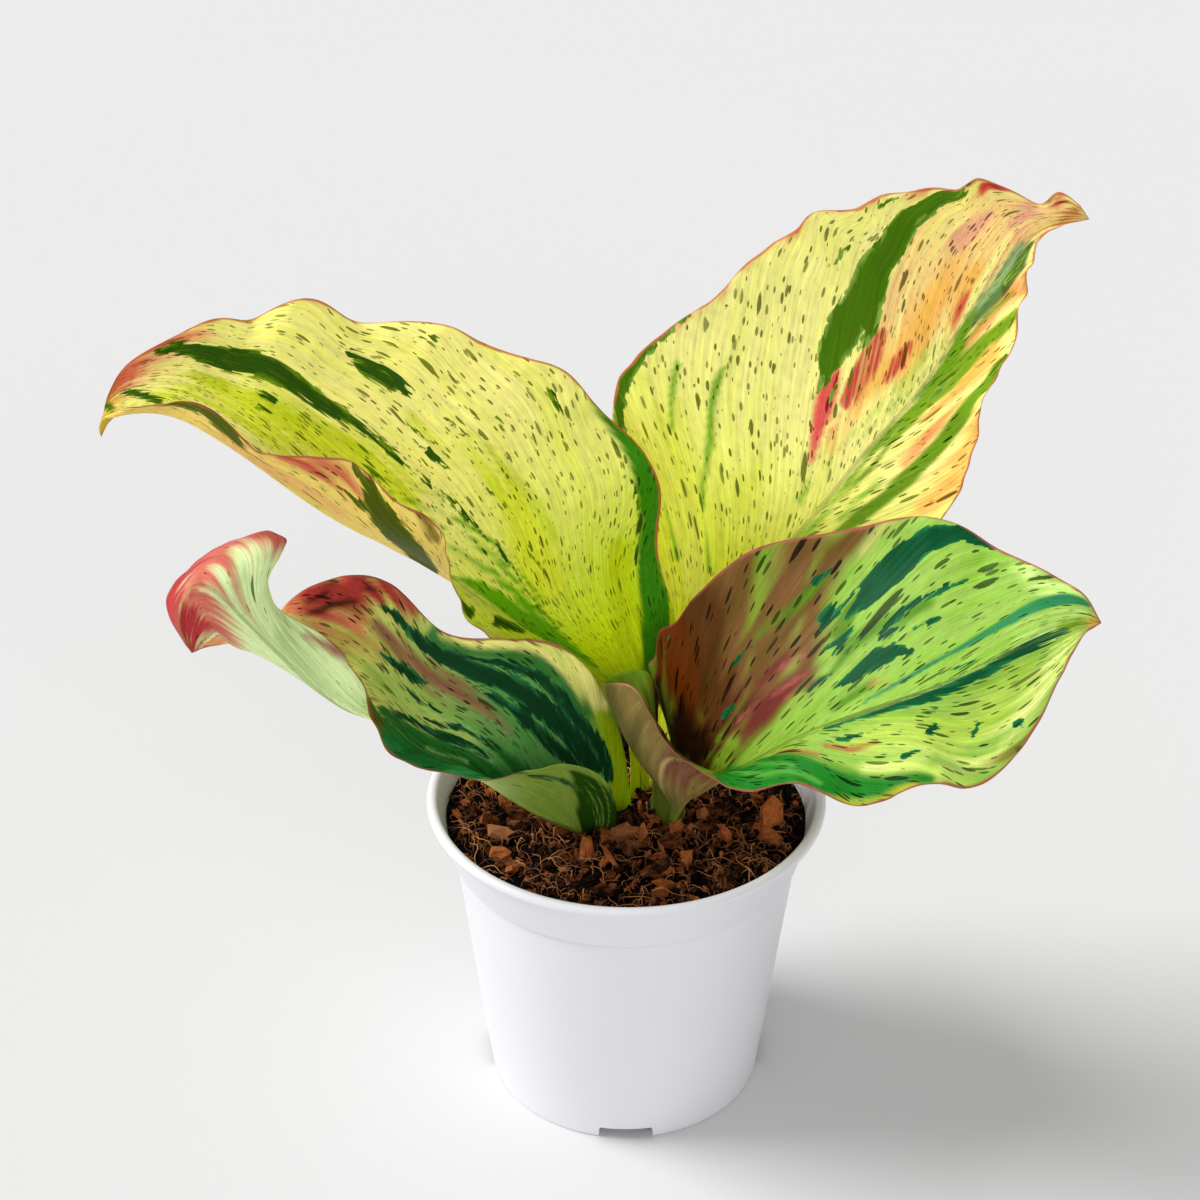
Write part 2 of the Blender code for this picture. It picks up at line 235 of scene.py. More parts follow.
def wall_radius(height):
    """Outer radius of the tapered body."""
    return FOOT_RADIUS + WALL_SLOPE * height


def collar_radius(height):
    """Outer radius of the collar, which flares faster than the body."""
    foot = wall_radius(COLLAR_FOOT) + COLLAR_STEP
    share = (height - COLLAR_FOOT - 1.0) / (COLLAR_TOP - COLLAR_FOOT - 1.0)
    return foot + share * (COLLAR_RADIUS - foot)


def pot_profile():
    """From the centre drain up the inside, over the round lip, down the outside, under the foot."""
    inside = rounded([
        (DRAIN_RADIUS, FLOOR, 0.1), (DRAIN_RADIUS, FLOOR + WALL, 0.3),
        (wall_radius(6.0) - WALL, FLOOR + WALL, 2.2),
        (wall_radius(COLLAR_FOOT) - WALL, COLLAR_FOOT, 0.7),
        (collar_radius(COLLAR_FOOT + 1.5) - COLLAR_WALL, COLLAR_FOOT + 1.5, 0.7),
        (collar_radius(COLLAR_TOP) - COLLAR_WALL, COLLAR_TOP, 0.1)])
    turn = np.radians(np.linspace(165.0, -85.0, 15))
    lip = np.stack([LIP_RADIUS - LIP_ROUND + LIP_ROUND * np.cos(turn),
                    POT_TOP - LIP_ROUND + LIP_ROUND * np.sin(turn)], axis=1)
    outside = rounded([
        (collar_radius(COLLAR_TOP) + 0.4, COLLAR_TOP + 0.6, 0.1),
        (collar_radius(COLLAR_TOP), COLLAR_TOP, 0.5),
        (collar_radius(COLLAR_FOOT + 0.4), COLLAR_FOOT + 0.4, 0.12),
        (wall_radius(COLLAR_FOOT) - 0.4, COLLAR_FOOT, 0.12),
        (wall_radius(COLLAR_FOOT - 1.6), COLLAR_FOOT - 1.6, 0.5),
        (wall_radius(30.0), 30.0, 0.5), (wall_radius(4.2), 4.2, 0.1), (wall_radius(0.0), 0.0, 0.7),
        (FOOT_RADIUS - FOOT_RING, 0.0, 0.3), (FOOT_RADIUS - FOOT_RING - 0.3, FLOOR, 0.3),
        (DRAIN_RADIUS, FLOOR, 0.1)])
    return np.concatenate([inside, lip, outside])


def pot_shell():
    """The profile turned round: (r cos a, r sin a, z), z lifted to the roof over each notch, which
    has round corners: height - corner + √(corner² - into²)."""
    profile = pot_profile()
    corner = np.linspace(0.0, NOTCH_CORNER, 5)
    side = NOTCH_HALF - NOTCH_CORNER + corner
    extra = np.concatenate([side, -side, [NOTCH_HALF + 0.02, -NOTCH_HALF - 0.02]]) / FOOT_RADIUS
    gap = math.tau / NOTCHES
    notches = np.arange(NOTCHES)[:, None] * gap - gap
    angle = np.concatenate([np.linspace(0.0, math.tau, POT_TURNS, endpoint=False),
                            (notches + extra).ravel() % math.tau])
    angle = np.unique(np.round(angle, 6))
    across = np.abs((angle + gap / 2.0) % gap - gap / 2.0) * FOOT_RADIUS
    into = np.clip(across - NOTCH_HALF + NOTCH_CORNER, 0.0, NOTCH_CORNER)
    roof = NOTCH_HEIGHT - NOTCH_CORNER + np.sqrt(NOTCH_CORNER ** 2 - into ** 2)
    roof = np.where(across <= NOTCH_HALF + 0.001, roof, 0.0)
    radius = profile[:, 0, None]
    height = np.maximum(profile[:, 1, None], roof)
    return np.stack([radius * np.cos(angle), radius * np.sin(angle), height], axis=2)


def drain_pins():
    """Upright pins in a circle, centre + (r cos a, r sin a), from below the floor to above it."""
    spoke = ((np.arange(DRAINS) + 0.5) * math.tau / DRAINS)[:, None, None]
    turn = np.arange(DRAIN_SIDES) * math.tau / DRAIN_SIDES
    level = np.array([FLOOR - 1.0, FLOOR + WALL + 1.0])[:, None]
    x = DRAIN_CIRCLE * np.cos(spoke) + DRAIN_RADIUS * np.cos(turn)
    y = DRAIN_CIRCLE * np.sin(spoke) + DRAIN_RADIUS * np.sin(turn)
    return np.stack(np.broadcast_arrays(x, y, level), axis=3)


def drill(piece):
    """Cuts the drain holes, and leaves the result in the piece's own mesh."""
    pins = new_object("drain_pins", drain_pins(), tube_faces(DRAINS, 2, DRAIN_SIDES, order=-1))
    cut = piece.modifiers.new("drains", "BOOLEAN")
    cut.object = pins
    cut.solver = "EXACT"
    ready = piece.evaluated_get(bpy.context.evaluated_depsgraph_get())
    finished = bpy.data.meshes.new_from_object(ready)
    piece.modifiers.clear()
    piece.data = finished
    bpy.data.objects.remove(pins, do_unlink=True)


def moulded_plastic():
    """White polypropylene: nearly even, with a fine tool grain, a painted shade line under the
    collar, and coir dust inside the rim, where radius - slope·height is less than outside it."""
    made, shader = new_material("white_polypropylene", 0.36, IOR=1.49)
    place = object_place(made)
    white = blend(noise(place, 28.0, 2.0), paint(224, 224, 229), paint(228, 228, 232))
    flat = (place - POT_AXIS) * (1.0, 1.0, 0.0)
    radius = node("VectorMath", {0: flat}, operation="LENGTH")[1] * (1.0 / MM)
    height = node("SeparateXYZ", {0: place})[2] * (1.0 / MM)
    inner = ramp(radius - height * 0.3267, 24.8, 25.1, 1.0, 0.0)
    dusty = inner * ramp(height, 92.5, 96.5, 1.0, 0.0) * ramp(height, 86.0, 88.0)
    dusty = dusty * ramp(noise(place, 900.0, 4.0, 0.7), 0.52, 0.62)
    color = blend(dusty * 0.35, white, paint(120, 82, 58))
    # Painted shade: a grey band just below the collar's foot, darkening the step as its shadow
    # would.
    painted_step_shade = ramp(height, COLLAR_FOOT - 1.0, COLLAR_FOOT - 0.2)
    painted_step_shade = painted_step_shade * ramp(height, COLLAR_FOOT, COLLAR_FOOT + 0.5, 1.0, 0.0)
    color = blend(painted_step_shade * 0.6, color, paint(150, 150, 158))
    wear = ramp(noise(place, 60.0), 0.3, 0.7, 0.33, 0.42)
    feed(shader, Base_Color=color, Roughness=wear, Normal=bump(noise(place, 1400.0, 2.0), 0.00003))
    return made


shell = pot_shell()
pot = new_piece("nursery_pot", shell,
                grid_faces(*shell.shape[:2], closed_rows=True, closed_columns=True).tolist(),
                moulded_plastic())
drill(pot)
pot.data.set_sharp_from_angle(angle=math.radians(38.0))
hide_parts("pot")

# ---------------------------------------------------------------------------------------------
# Soil. Chopped coconut husk, dark with water, heaped slightly round the stems and ragged against
# the wall. The block below and the rhizome inside it are the ones of the frame.

SOIL_TOP = 91.5
CROWN = (4.5, 0.0)             # where the leaves come out
SOIL_RINGS = 110
SOIL_SPOKES = 320
LATTICE = 64


def eased(value, low=0.0, high=1.0):
    """0 below low, 1 above high, 3s²-2s³ between them."""
    s = np.clip((value - low) / (high - low), 0.0, 1.0)
    return s * s * (3.0 - 2.0 * s)


def grain(x, y, seed):
    """Smooth noise from -1 to 1: random heights on a unit lattice, joined by 3s²-2s³ each way."""
    heights = np.random.default_rng(seed).uniform(-1.0, 1.0, (LATTICE, LATTICE))
    column, row = np.floor(x).astype(int), np.floor(y).astype(int)
    s, q = eased(x - column), eased(y - row)
    column, row = column % LATTICE, row % LATTICE
    right, above = (column + 1) % LATTICE, (row + 1) % LATTICE
    near = heights[row, column] * (1.0 - s) + heights[row, right] * s
    far = heights[above, column] * (1.0 - s) + heights[above, right] * s
    return near * (1.0 - q) + far * q


def soil_height(x, y):
    """Level of the coir: a low heap round the crown, lumps of 14 and 5 mm, a dip at the wall."""
    heap = 1.6 * np.exp(-((x - CROWN[0]) ** 2 + (y - CROWN[1]) ** 2) / 26.0 ** 2)
    lumps = 0.9 * grain(x / 14.0 + 9.0, y / 14.0 + 9.0, 3)
    lumps += 0.5 * grain(x / 5.0 + 9.0, y / 5.0 + 9.0, 4)
    fine = 0.3 * grain(x / 1.7 + 20.0, y / 1.7 + 20.0, 5)
    dip = 0.8 * np.clip((np.hypot(x, y) - 46.0) / 8.0, 0.0, 1.0)
    return SOIL_TOP + 1.3 + heap + lumps + fine - dip


def soil_relief():
    """A disc (r cos a, r sin a, level) that ends against the pot's inner wall and turns down there,
    and last the point at its middle."""
    share = np.linspace(0.0, 1.0, SOIL_RINGS)[1:, None]
    turn = np.linspace(0.0, math.tau, SOIL_SPOKES, endpoint=False)[None, :]
    wall = collar_radius(SOIL_TOP) - WALL - 0.35
    x, y = wall * share * np.cos(turn), wall * share * np.sin(turn)
    disc = np.stack([x, y, soil_height(x, y)], axis=2)
    skirt = np.stack([x[-1], y[-1], np.full(SOIL_SPOKES, SOIL_TOP - 1.0)], axis=1)
    middle = np.zeros(1)
    middle = np.stack([middle, middle, soil_height(middle, middle)], axis=1)
    return np.concatenate([disc.reshape(-1, 3), skirt, middle])


def soil_faces():
    """Quads between the rings, a fan round the middle, and one face underneath."""
    k = np.arange(SOIL_SPOKES)
    middle = np.full(SOIL_SPOKES, SOIL_RINGS * SOIL_SPOKES)
    fan = np.column_stack([middle, k, (k + 1) % SOIL_SPOKES])
    under = (SOIL_RINGS - 1) * SOIL_SPOKES + k[::-1]
    rings = grid_faces(SOIL_RINGS, SOIL_SPOKES, closed_columns=True)
    return rings.tolist() + fan.tolist() + [under.tolist()]


def keep(piece, **layers):
    """Stores a number, a place (three numbers) or a colour (four) for each vertex, under a name."""
    kinds = {1: ("FLOAT", "value"), 3: ("FLOAT_VECTOR", "vector"), 4: ("FLOAT_COLOR", "color")}
    for name, values in layers.items():
        kind, field = kinds[values.size // len(piece.data.vertices)]
        layer = piece.data.attributes.new(name, kind, "POINT")
        layer.data.foreach_set(field, np.ascontiguousarray(values, dtype=np.float32).ravel())


def stored(material, name, kind="Fac"):
    """What the mesh keeps under a name: a number (Fac), a place (Vector) or a colour (Color)."""
    return node("Attribute", tree=material.node_tree, attribute_name=name)[kind]


def new_group(name, **inputs):
    """A node group with named inputs, each of a kind, and a colour, a height and a roughness for
    its outputs; and the first value of its input node."""
    group = bpy.data.node_groups.new(name, "ShaderNodeTree")
    outputs = {"Color": "Color", "Height": "Float", "Roughness": "Float"}
    for in_out, sockets in (("INPUT", inputs), ("OUTPUT", outputs)):
        for key, kind in sockets.items():
            group.interface.new_socket(key.replace("_", " "), in_out=in_out,
                                       socket_type="NodeSocket" + kind)
    return group, Value(group.nodes.new("NodeGroupInput").outputs[0])


def husk_grain():
    """Shared by the coir and the chips on it: paler fibres along each piece's own length, blotches,
    and greyed pieces where the tone is highest."""
    group, given = new_group("husk_grain", Place="Vector", Own="Vector", Tone="Float",
                             Scale="Float", Dark="Color", Light="Color")
    fibre = noise(given["Own"] * (0.25, 1.5, 1.5), 1.0, 6.0, 0.75)
    blotch = noise(given["Place"], given["Scale"], 4.0, 0.65)
    share = given["Tone"] * 1.05 + blotch * 1.1 + fibre * 1.6
    color = blend(ramp(share, 1.35, 2.5), given["Dark"], given["Light"])
    color = blend(ramp(given["Tone"], 0.9, 0.94) * 0.5, color, paint(150, 118, 88))
    feed(group.nodes.new("NodeGroupOutput"), Color=color, Height=fibre * 1.6 + blotch,
         Roughness=ramp(fibre, 0.3, 0.8, 0.95, 0.7))
    return group


HUSK_GRAIN = husk_grain()


def husk(name, dark, light, scale, depth):
    """Coconut husk, rough and matt, from its dark pith to its light fibres."""
    made, shader = new_material(name, 0.92, Specular_IOR_Level=0.1)
    look = node("Group", {"Place": object_place(made), "Own": stored(made, "own", "Vector"),
                          "Tone": stored(made, "tone"), "Scale": scale, "Dark": paint(*dark),
                          "Light": paint(*light)}, node_tree=HUSK_GRAIN)
    feed(shader, Base_Color=look["Color"], Roughness=look["Roughness"],
         Normal=bump(look["Height"], depth))
    return made


def rhizome_skin():
    """Rhizome: pale buff and waxy, with browner rings and scars."""
    made, shader = new_material("rhizome_skin", 0.55)
    place = object_place(made)
    scars = noise(place, 260.0, 4.0, 0.65)
    share = noise(place * (1.0, 1.0, 6.0), 90.0) * 0.7 + scars * 0.4
    color = blend(ramp(share, 0.4, 0.75), paint(212, 184, 132), paint(128, 84, 48))
    feed(shader, Base_Color=color, Roughness=ramp(scars, 0.3, 0.7, 0.5, 0.7),
         Normal=bump(share, 0.0004))
    return made


wet_coir = husk("wet_coir", (5, 2, 1), (90, 44, 22), 336.0, 0.0009)
relief = soil_relief()
soil = new_piece("coir_surface", relief, soil_faces(), wet_coir)
keep(soil, tone=np.zeros(len(relief)), own=relief)
soil_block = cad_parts["soil"]
soil_block.material_slots[0].material = wet_coir
keep(soil_block, tone=np.zeros(len(soil_block.data.vertices)))
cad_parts["rhizome"].material_slots[0].material = rhizome_skin()

# ---------------------------------------------------------------------------------------------
# Bark chips. Splinters and cubes of husk cut by a chipper, some flat and pale, most dark, lying
# loose on each other; finer crumbs fill between them.

CHIP_SIDES = 5
CHIP_RINGS = ((0.9, -0.5), (1.0, 0.2), (0.75, 0.5))    # width and level
SPLINTERS = (                  # name, gloom, how many, lengths, reach, lift, tilt
    ("husk_chips", 1.8, 1000, (1.5, 10.0), 53.8, (0.0, 2.4), 0.75),
    ("husk_crumbs", 3.0, 2600, (0.6, 3.2), 54.6, (0.0, 1.4), 0.9),
)


def turns(angle, axis):
    """Rotation matrices, one for each angle, about one axis (0 X, 1 Y, 2 Z)."""
    made = np.zeros((len(angle), 3, 3))
    first, second = (axis + 1) % 3, (axis + 2) % 3
    made[:, axis, axis] = 1.0
    made[:, first, first] = made[:, second, second] = np.cos(angle)
    made[:, first, second] = -np.sin(angle)
    made[:, second, first] = np.sin(angle)
    return made


def scattered(count, dice, outer):
    """Places spread evenly by area on the soil inside a radius."""
    radius = np.sqrt(dice.uniform(0.0, outer ** 2, count))
    turn = dice.uniform(0.0, math.tau, count)
    return radius * np.cos(turn), radius * np.sin(turn)


def splinters(dice, count, lengths, outer, lift, tilt):
    """Lopsided prisms of three rings, the widest in the middle, each corner moved at random;
    stretched to a length, a width and a height, tilted, and laid on the soil. The second result
    keeps each one's places before it was tilted, for its fibres."""
    ring = np.arange(CHIP_SIDES) * math.tau / CHIP_SIDES
    wide, level = np.repeat(CHIP_RINGS, CHIP_SIDES, axis=0).T
    ring = np.tile(ring, len(CHIP_RINGS))
    base = np.column_stack([wide * np.cos(ring), wide * np.sin(ring), level])
    shape = base + dice.uniform(-0.3, 0.3, (count, len(base), 3))
    size = lengths[0] * (lengths[1] / lengths[0]) ** (dice.uniform(0.0, 1.0, count) ** 1.7)
    size = np.column_stack([size, size * dice.uniform(0.3, 0.8, count),
                            size * dice.uniform(0.1, 0.4, count)])
    own = shape * size[:, None] * (0.5, 0.5, 0.9)
    lie = turns(dice.uniform(0.0, math.tau, count), 2)
    lie = lie @ turns(dice.normal(0.0, tilt, count), 0) @ turns(dice.normal(0.0, tilt, count), 1)
    shape = np.einsum("nij,nkj->nki", lie, own)
    x, y = scattered(count, dice, 1.0)
    reach = outer - 0.55 * size[:, 0]
    x, y = x * reach, y * reach
    low = soil_height(x, y) + dice.uniform(*lift, count) * size[:, 2]
    shape = shape + np.column_stack([x, y, low])[:, None]
    return shape, own + dice.uniform(0.0, 50.0, (count, 1, 3))


def lay_splinters(material, dice, name, gloom, *kind):
    """One piece of all the splinters of a kind. Each has its own fibre direction and its own tone,
    a random share to the power of gloom."""
    shapes, own = splinters(dice, *kind)
    faces = tube_faces(len(shapes), len(CHIP_RINGS), CHIP_SIDES, order=-1)
    piece = new_piece(name, shapes, faces, material, soft=False)
    tone = dice.uniform(0.0, 1.0, len(shapes)) ** gloom
    keep(piece, tone=np.repeat(tone, shapes.shape[1]), own=own)
    return piece


dice = np.random.default_rng(12)
bark = husk("husk_bark", (8, 3, 1), (214, 122, 62), 240.0, 0.0008)
laid = [lay_splinters(bark, dice, *kind) for kind in SPLINTERS]
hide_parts(*[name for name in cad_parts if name.startswith("bark_chip")])

# ---------------------------------------------------------------------------------------------
# Husk fibres. Coarse orange-tan hairs of coconut husk, each a few millimetres to two centimetres
# long, springy and curled, lying over and between the chips.

FIBRE_COUNT = 1250
FIBRE_STEPS = 16
FIBRE_SIDES = 4


def fibre_paths(count, dice):
    """Each hair keeps walking in steps (cos h, sin h) while its heading h swings as one slow and
    one quick sine; it rises from the soil and sinks again as a half sine."""
    s = np.linspace(0.0, 1.0, FIBRE_STEPS)
    length = 3.0 * 6.0 ** (dice.uniform(0.0, 1.0, count) ** 1.4)[:, None]
    swing = dice.uniform(-2.2, 2.2, (count, 1))
    heading = dice.uniform(0.0, math.tau, (count, 1)) + swing * np.sin(math.pi * s)
    heading = heading + 0.5 * np.sin(math.tau * (1.5 * s + dice.uniform(0.0, 1.0, (count, 1))))
    walk = np.cumsum([np.cos(heading), np.sin(heading)], axis=2) * length / FIBRE_STEPS
    start = np.stack(scattered(count, dice, 52.5))[:, :, None]
    x, y = walk - walk.mean(axis=2, keepdims=True) + start
    pull = np.minimum(1.0, 54.2 / np.hypot(x, y))
    x, y = x * pull, y * pull
    rise = dice.uniform(0.4, 3.4, (count, 1)) * np.sin(math.pi * s)
    rise = rise + dice.uniform(0.2, 1.6, (count, 1))
    return np.stack([x, y, soil_height(x, y) + rise], axis=2)


def unit(vectors):
    """Vectors divided by their lengths."""
    return vectors / np.maximum(np.linalg.norm(vectors, axis=-1, keepdims=True), 1e-9)


def tubes(paths, radius):
    """Rings of points round each path, on its sideways and its upward direction, thinner at the
    ends: 1 - 0.75·|s|³ of the radius, s from -1 to 1."""
    along = np.gradient(paths, axis=1)
    side = unit(np.cross(along, (0.0, 0.0, 1.0)))
    upward = unit(np.cross(side, along))
    turn = np.arange(FIBRE_SIDES)[:, None] * math.tau / FIBRE_SIDES
    taper = 1.0 - 0.75 * np.abs(np.linspace(-1.0, 1.0, paths.shape[1])) ** 3
    size = (radius[:, None] * taper)[:, :, None, None]
    ring = np.cos(turn) * side[:, :, None, :] + np.sin(turn) * upward[:, :, None, :]
    return paths[:, :, None, :] + size * ring


def dry_fibre():
    """Dry husk fibre, from red brown to straw by its tone, slightly glossy."""
    made, shader = new_material("husk_fibre", 0.6)
    spot = noise(object_place(made), 700.0)
    share = stored(made, "tone") + (spot - 0.5) * 0.6
    color = blend(ramp(share, 0.0, 1.0), paint(92, 42, 18), paint(216, 146, 80))
    feed(shader, Base_Color=color, Normal=bump(spot, 0.0001))
    return made


hairs = tubes(fibre_paths(FIBRE_COUNT, dice), dice.uniform(0.05, 0.15, FIBRE_COUNT))
fibres = new_piece("husk_fibres", hairs, tube_faces(*hairs.shape[:3]), dry_fibre())
tone = dice.uniform(0.0, 1.0, FIBRE_COUNT) ** 1.5
keep(fibres, tone=np.repeat(tone, FIBRE_STEPS * FIBRE_SIDES))

# ---------------------------------------------------------------------------------------------
# Left back leaf. Each leaf is one grown blade on a short channelled stalk: a soft, half-glossy
# skin over parallel veins that leave the midrib at a narrow angle and run out to a thin red
# margin. This one arches over to the left, pale yellow, with its lower side rolled up.

BLADE_ROWS = 260
BLADE_COLUMNS = 101            # odd, so that one column runs along the midrib
MIDRIB = BLADE_COLUMNS // 2
LEAF_FOOT = SOIL_TOP - 2.5
BLADE_THICK = 0.45
RIB_THICK = 1.3                # added along the midrib
STALK_THICK = 0.9              # added on the stalk
RIB_WIDTH = 2.2                # where the rib's bell curve has fallen to a third
GROOVE = 0.55                  # depth over the midrib
RIPPLE = 0.9
FLAT_CURL = 0.01               # the least curl an arc is worked out for
VEIN_SPREAD = 0.7              # power of the distance from the midrib, see vein_places
VEIN_SLANT = 0.45              # distance across the veins for each millimetre along the rib
VEIN_APART = 74.0              # keeps the two halves' veins apart

BACK_LEFT = (
    (1,3,92, 4,6,92, 8,7,92, 40,40),
    (1,6,111, 4,9,108, 7,10,110, 50,50),
    (-6,6,128, 1,13,123, 13,17,132, 30,20),
    (-25,-2,145, -12,7,141, 14,19,151, 20,20),
    (-41,-13,163, -29,5,153, 9,22,172, 20,25),
    (-49,-17,182, -45,1,169, 9,24,193, 30,35),
    (-51,-18,199, -57,-3,180, -8,27,215, 46,40),
    (-63,-18,208, -70,-5,189, -32,28,230, 56,35),
    (-77,-17,220, -85,-6,199, -56,28,240, 56,35),
    (-97,-15,220, -101,-8,214, -85,26,247, 46,35),
    (-112,-11,232, -116,-7,225, -109,20,245, 36,35),
    (-127,-7,232, -130,-5,229, -127,10,243, 20,30),
    (-139,-4,228, -143,-4,226, -140,1,236, 10,20),
    (-145,-3,220, -145,-3,220, -145,-3,220, 0,0),
)
BACK_LEFT_WAVES = (
    (1, 0.80, 2.0, 1.5, 0.03), (1, 0.755, -1.5, -1.0, 0.016), (1, 0.71, 2.0, 2.0, 0.025),
    (1, 0.66, -4.5, -3.5, 0.025), (1, 0.60, 1.6, 2.0, 0.02), (1, 0.505, 3.5, 2.5, 0.03),
    (1, 0.45, -1.5, -2.0, 0.02), (-1, 0.67, 1.0, 1.5, 0.03),
)


def spline(points, where):
    """Natural cubic spline through evenly spaced rows of points, read at places from 0 to 1."""
    last = len(points) - 1
    inner = np.arange(1, last)
    system = np.eye(last + 1)
    system[inner, inner - 1] = 1.0
    system[inner, inner] = 4.0
    system[inner, inner + 1] = 1.0
    bend = np.zeros_like(points)
    bend[1:last] = 6.0 * (points[2:] - 2.0 * points[1:-1] + points[:-2])
    bend = np.linalg.solve(system, bend)
    place = np.clip(where, 0.0, 1.0) * last
    cell = np.minimum(place.astype(int), last - 1)
    b = (place - cell)[:, None]
    a = 1.0 - b
    curve = (a ** 3 - a) * bend[cell] + (b ** 3 - b) * bend[cell + 1]
    return a * points[cell] + b * points[cell + 1] + curve / 6.0


def half_blade(rib, margin, curl, side, share):
    """Arcs from the rib to one margin. Each arc turns through its curl and bulges underneath."""
    chord = margin - rib
    across = unit(chord)
    upward = unit(np.cross(across, unit(np.gradient(rib, axis=0)))) * side
    turn = np.where(np.abs(curl) < FLAT_CURL, FLAT_CURL, curl)[:, None]
    radius = np.linalg.norm(chord, axis=1, keepdims=True) / (2.0 * np.sin(turn / 2.0))
    angle = turn * (share - 0.5)
    along = (radius * np.sin(angle))[..., None] * across[:, None, :]
    sag = (radius * (np.cos(angle) - np.cos(turn / 2.0)))[..., None] * upward[:, None, :]
    return ((rib + margin) / 2.0)[:, None, :] + along - sag


def blade_sheet(rows):
    """Points (along, across, xyz): splines through the rows, joined by arcs. A row is the left
    margin, the rib and the right margin, each x, y, z, and the curl of each half in degrees."""
    read = spline(np.array(rows, float), np.linspace(0.0, 1.0, BLADE_ROWS))
    read[0, 2:9:3] = LEAF_FOOT
    left, rib, right = read[:, 0:3], read[:, 3:6], read[:, 6:9]
    curl = np.radians(read[:, 9:11])
    share = np.linspace(0.0, 1.0, MIDRIB + 1)
    left_half = half_blade(rib, left, curl[:, 0], -1.0, share)[:, :0:-1]
    right_half = half_blade(rib, right, curl[:, 1], 1.0, share)
    return np.concatenate([left_half, right_half], axis=1)


def facing(sheet):
    """Upper side's direction at each point: across × along. The tip's is taken from just below."""
    normal = unit(np.cross(np.gradient(sheet, axis=1), np.gradient(sheet, axis=0)))
    normal[-1] = normal[-2]
    return normal


def measured(sheet):
    """Distance in millimetres of each point from the rib, from its margin, and along the rib."""
    step = np.linalg.norm(np.diff(sheet, axis=1), axis=2)
    out = np.zeros(sheet.shape[:2])
    out[:, MIDRIB + 1:] = np.cumsum(step[:, MIDRIB:], axis=1)
    out[:, :MIDRIB] = np.cumsum(step[:, :MIDRIB][:, ::-1], axis=1)[:, ::-1]
    far = np.repeat(out[:, [0, -1]], [MIDRIB, MIDRIB + 1], axis=1)
    along = np.zeros(sheet.shape[:2])
    along[1:] = np.cumsum(np.linalg.norm(np.diff(sheet[:, MIDRIB], axis=0), axis=1))[:, None]
    return out, far - out, along


def vein_places(u, t, out, length, spread):
    """The vein through a point starts on the rib at t - k·|u|^0.7, and that start, in millimetres
    across the veins, is the first coordinate, with the two halves set apart; the second runs along
    the leaf in millimetres, and the third is the distance from the rib."""
    k = np.where(u < 0.0, *spread)
    start = t - k * np.abs(u) ** VEIN_SPREAD
    apart = np.where(u < 0.0, -VEIN_APART, VEIN_APART)
    return np.stack([start * length * VEIN_SLANT + apart, t * length, out], axis=2)


def ruffled(sheet, u, t, waves, seed):
    """The blade rippled near its margins. A wave (side, t, outward, lift, spread) pushes it out
    from the rib and up by a bell curve along the leaf, times |u|³; between the waves it lifts by
    ripple·|u|⁴ times smooth noise along the margin. A shallow groove runs over the midrib."""
    normal = facing(sheet)
    outward = unit(np.gradient(sheet, axis=1)) * np.where(u < 0.0, -1.0, 1.0)[..., None]
    out, _, along = measured(sheet)
    edges = sheet[:, [0, -1]]
    run = np.cumsum(np.linalg.norm(np.gradient(edges, axis=0), axis=2), axis=0)
    run = np.where(u < 0.0, run[:, :1], run[:, 1:])
    side = np.where(u < 0.0, 0.0, 31.0)        # so that the two halves read other noise
    uneven = grain(run / 8.0, side, seed) + 0.6 * grain(run / 4.3, side + 3.0, seed + 1)
    lift = RIPPLE * np.abs(u) ** 4 * uneven * eased(t, 0.14, 0.3) * eased(t, 1.0, 0.95)
    push = np.zeros_like(lift)
    for half, place, away, rise, spread in waves:
        bell = np.exp(-((t - place) / spread) ** 2) * np.clip(half * u, 0.0, 1.0) ** 3
        lift += rise * bell
        push += away * bell
    lift -= GROOVE * np.exp(-(out / 1.5) ** 2) * eased(t, 1.0, 0.85)
    lift += 0.35 * grain(along / 16.0, out / 9.0 + side, seed + 2) * eased(t, 0.12, 0.3)
    return sheet + normal * lift[..., None] + outward * push[..., None]


def on_sheet(sheet, u, t):
    """Points of the sheet at fractional places, weighted from the four nearest."""
    row = np.clip(t, 0.0, 1.0) * (BLADE_ROWS - 1)
    column = (np.clip(u, -1.0, 1.0) + 1.0) * MIDRIB
    i = np.minimum(row.astype(int), BLADE_ROWS - 2)
    j = np.minimum(column.astype(int), BLADE_COLUMNS - 2)
    a, b = (row - i)[:, None], (column - j)[:, None]
    near = sheet[i, j] * (1 - b) + sheet[i, j + 1] * b
    far = sheet[i + 1, j] * (1 - b) + sheet[i + 1, j + 1] * b
    return near * (1 - a) + far * a


def stroked(sheet, strokes):
    """How deep each point lies inside the nearest brush stroke, in millimetres, negative outside.
    A stroke is places (u, t, half width), all in one row and joined by straight lines: u from -100
    at the left margin to 100 at the right one, t from 0 at the soil to 100 at the tip."""
    deep = np.full(sheet.shape[:2], -99.0)
    for stroke in strokes:
        stroke = np.array(stroke, float).reshape(-1, 3)
        where = np.linspace(0.0, len(stroke) - 1.0, 12 * len(stroke))
        u, t, wide = (np.interp(where, np.arange(len(stroke)), column) for column in stroke.T)
        for point, half in zip(on_sheet(sheet, u / 100.0, t / 100.0), wide):
            deep = np.maximum(deep, half - np.linalg.norm(sheet - point, axis=2))
    return deep


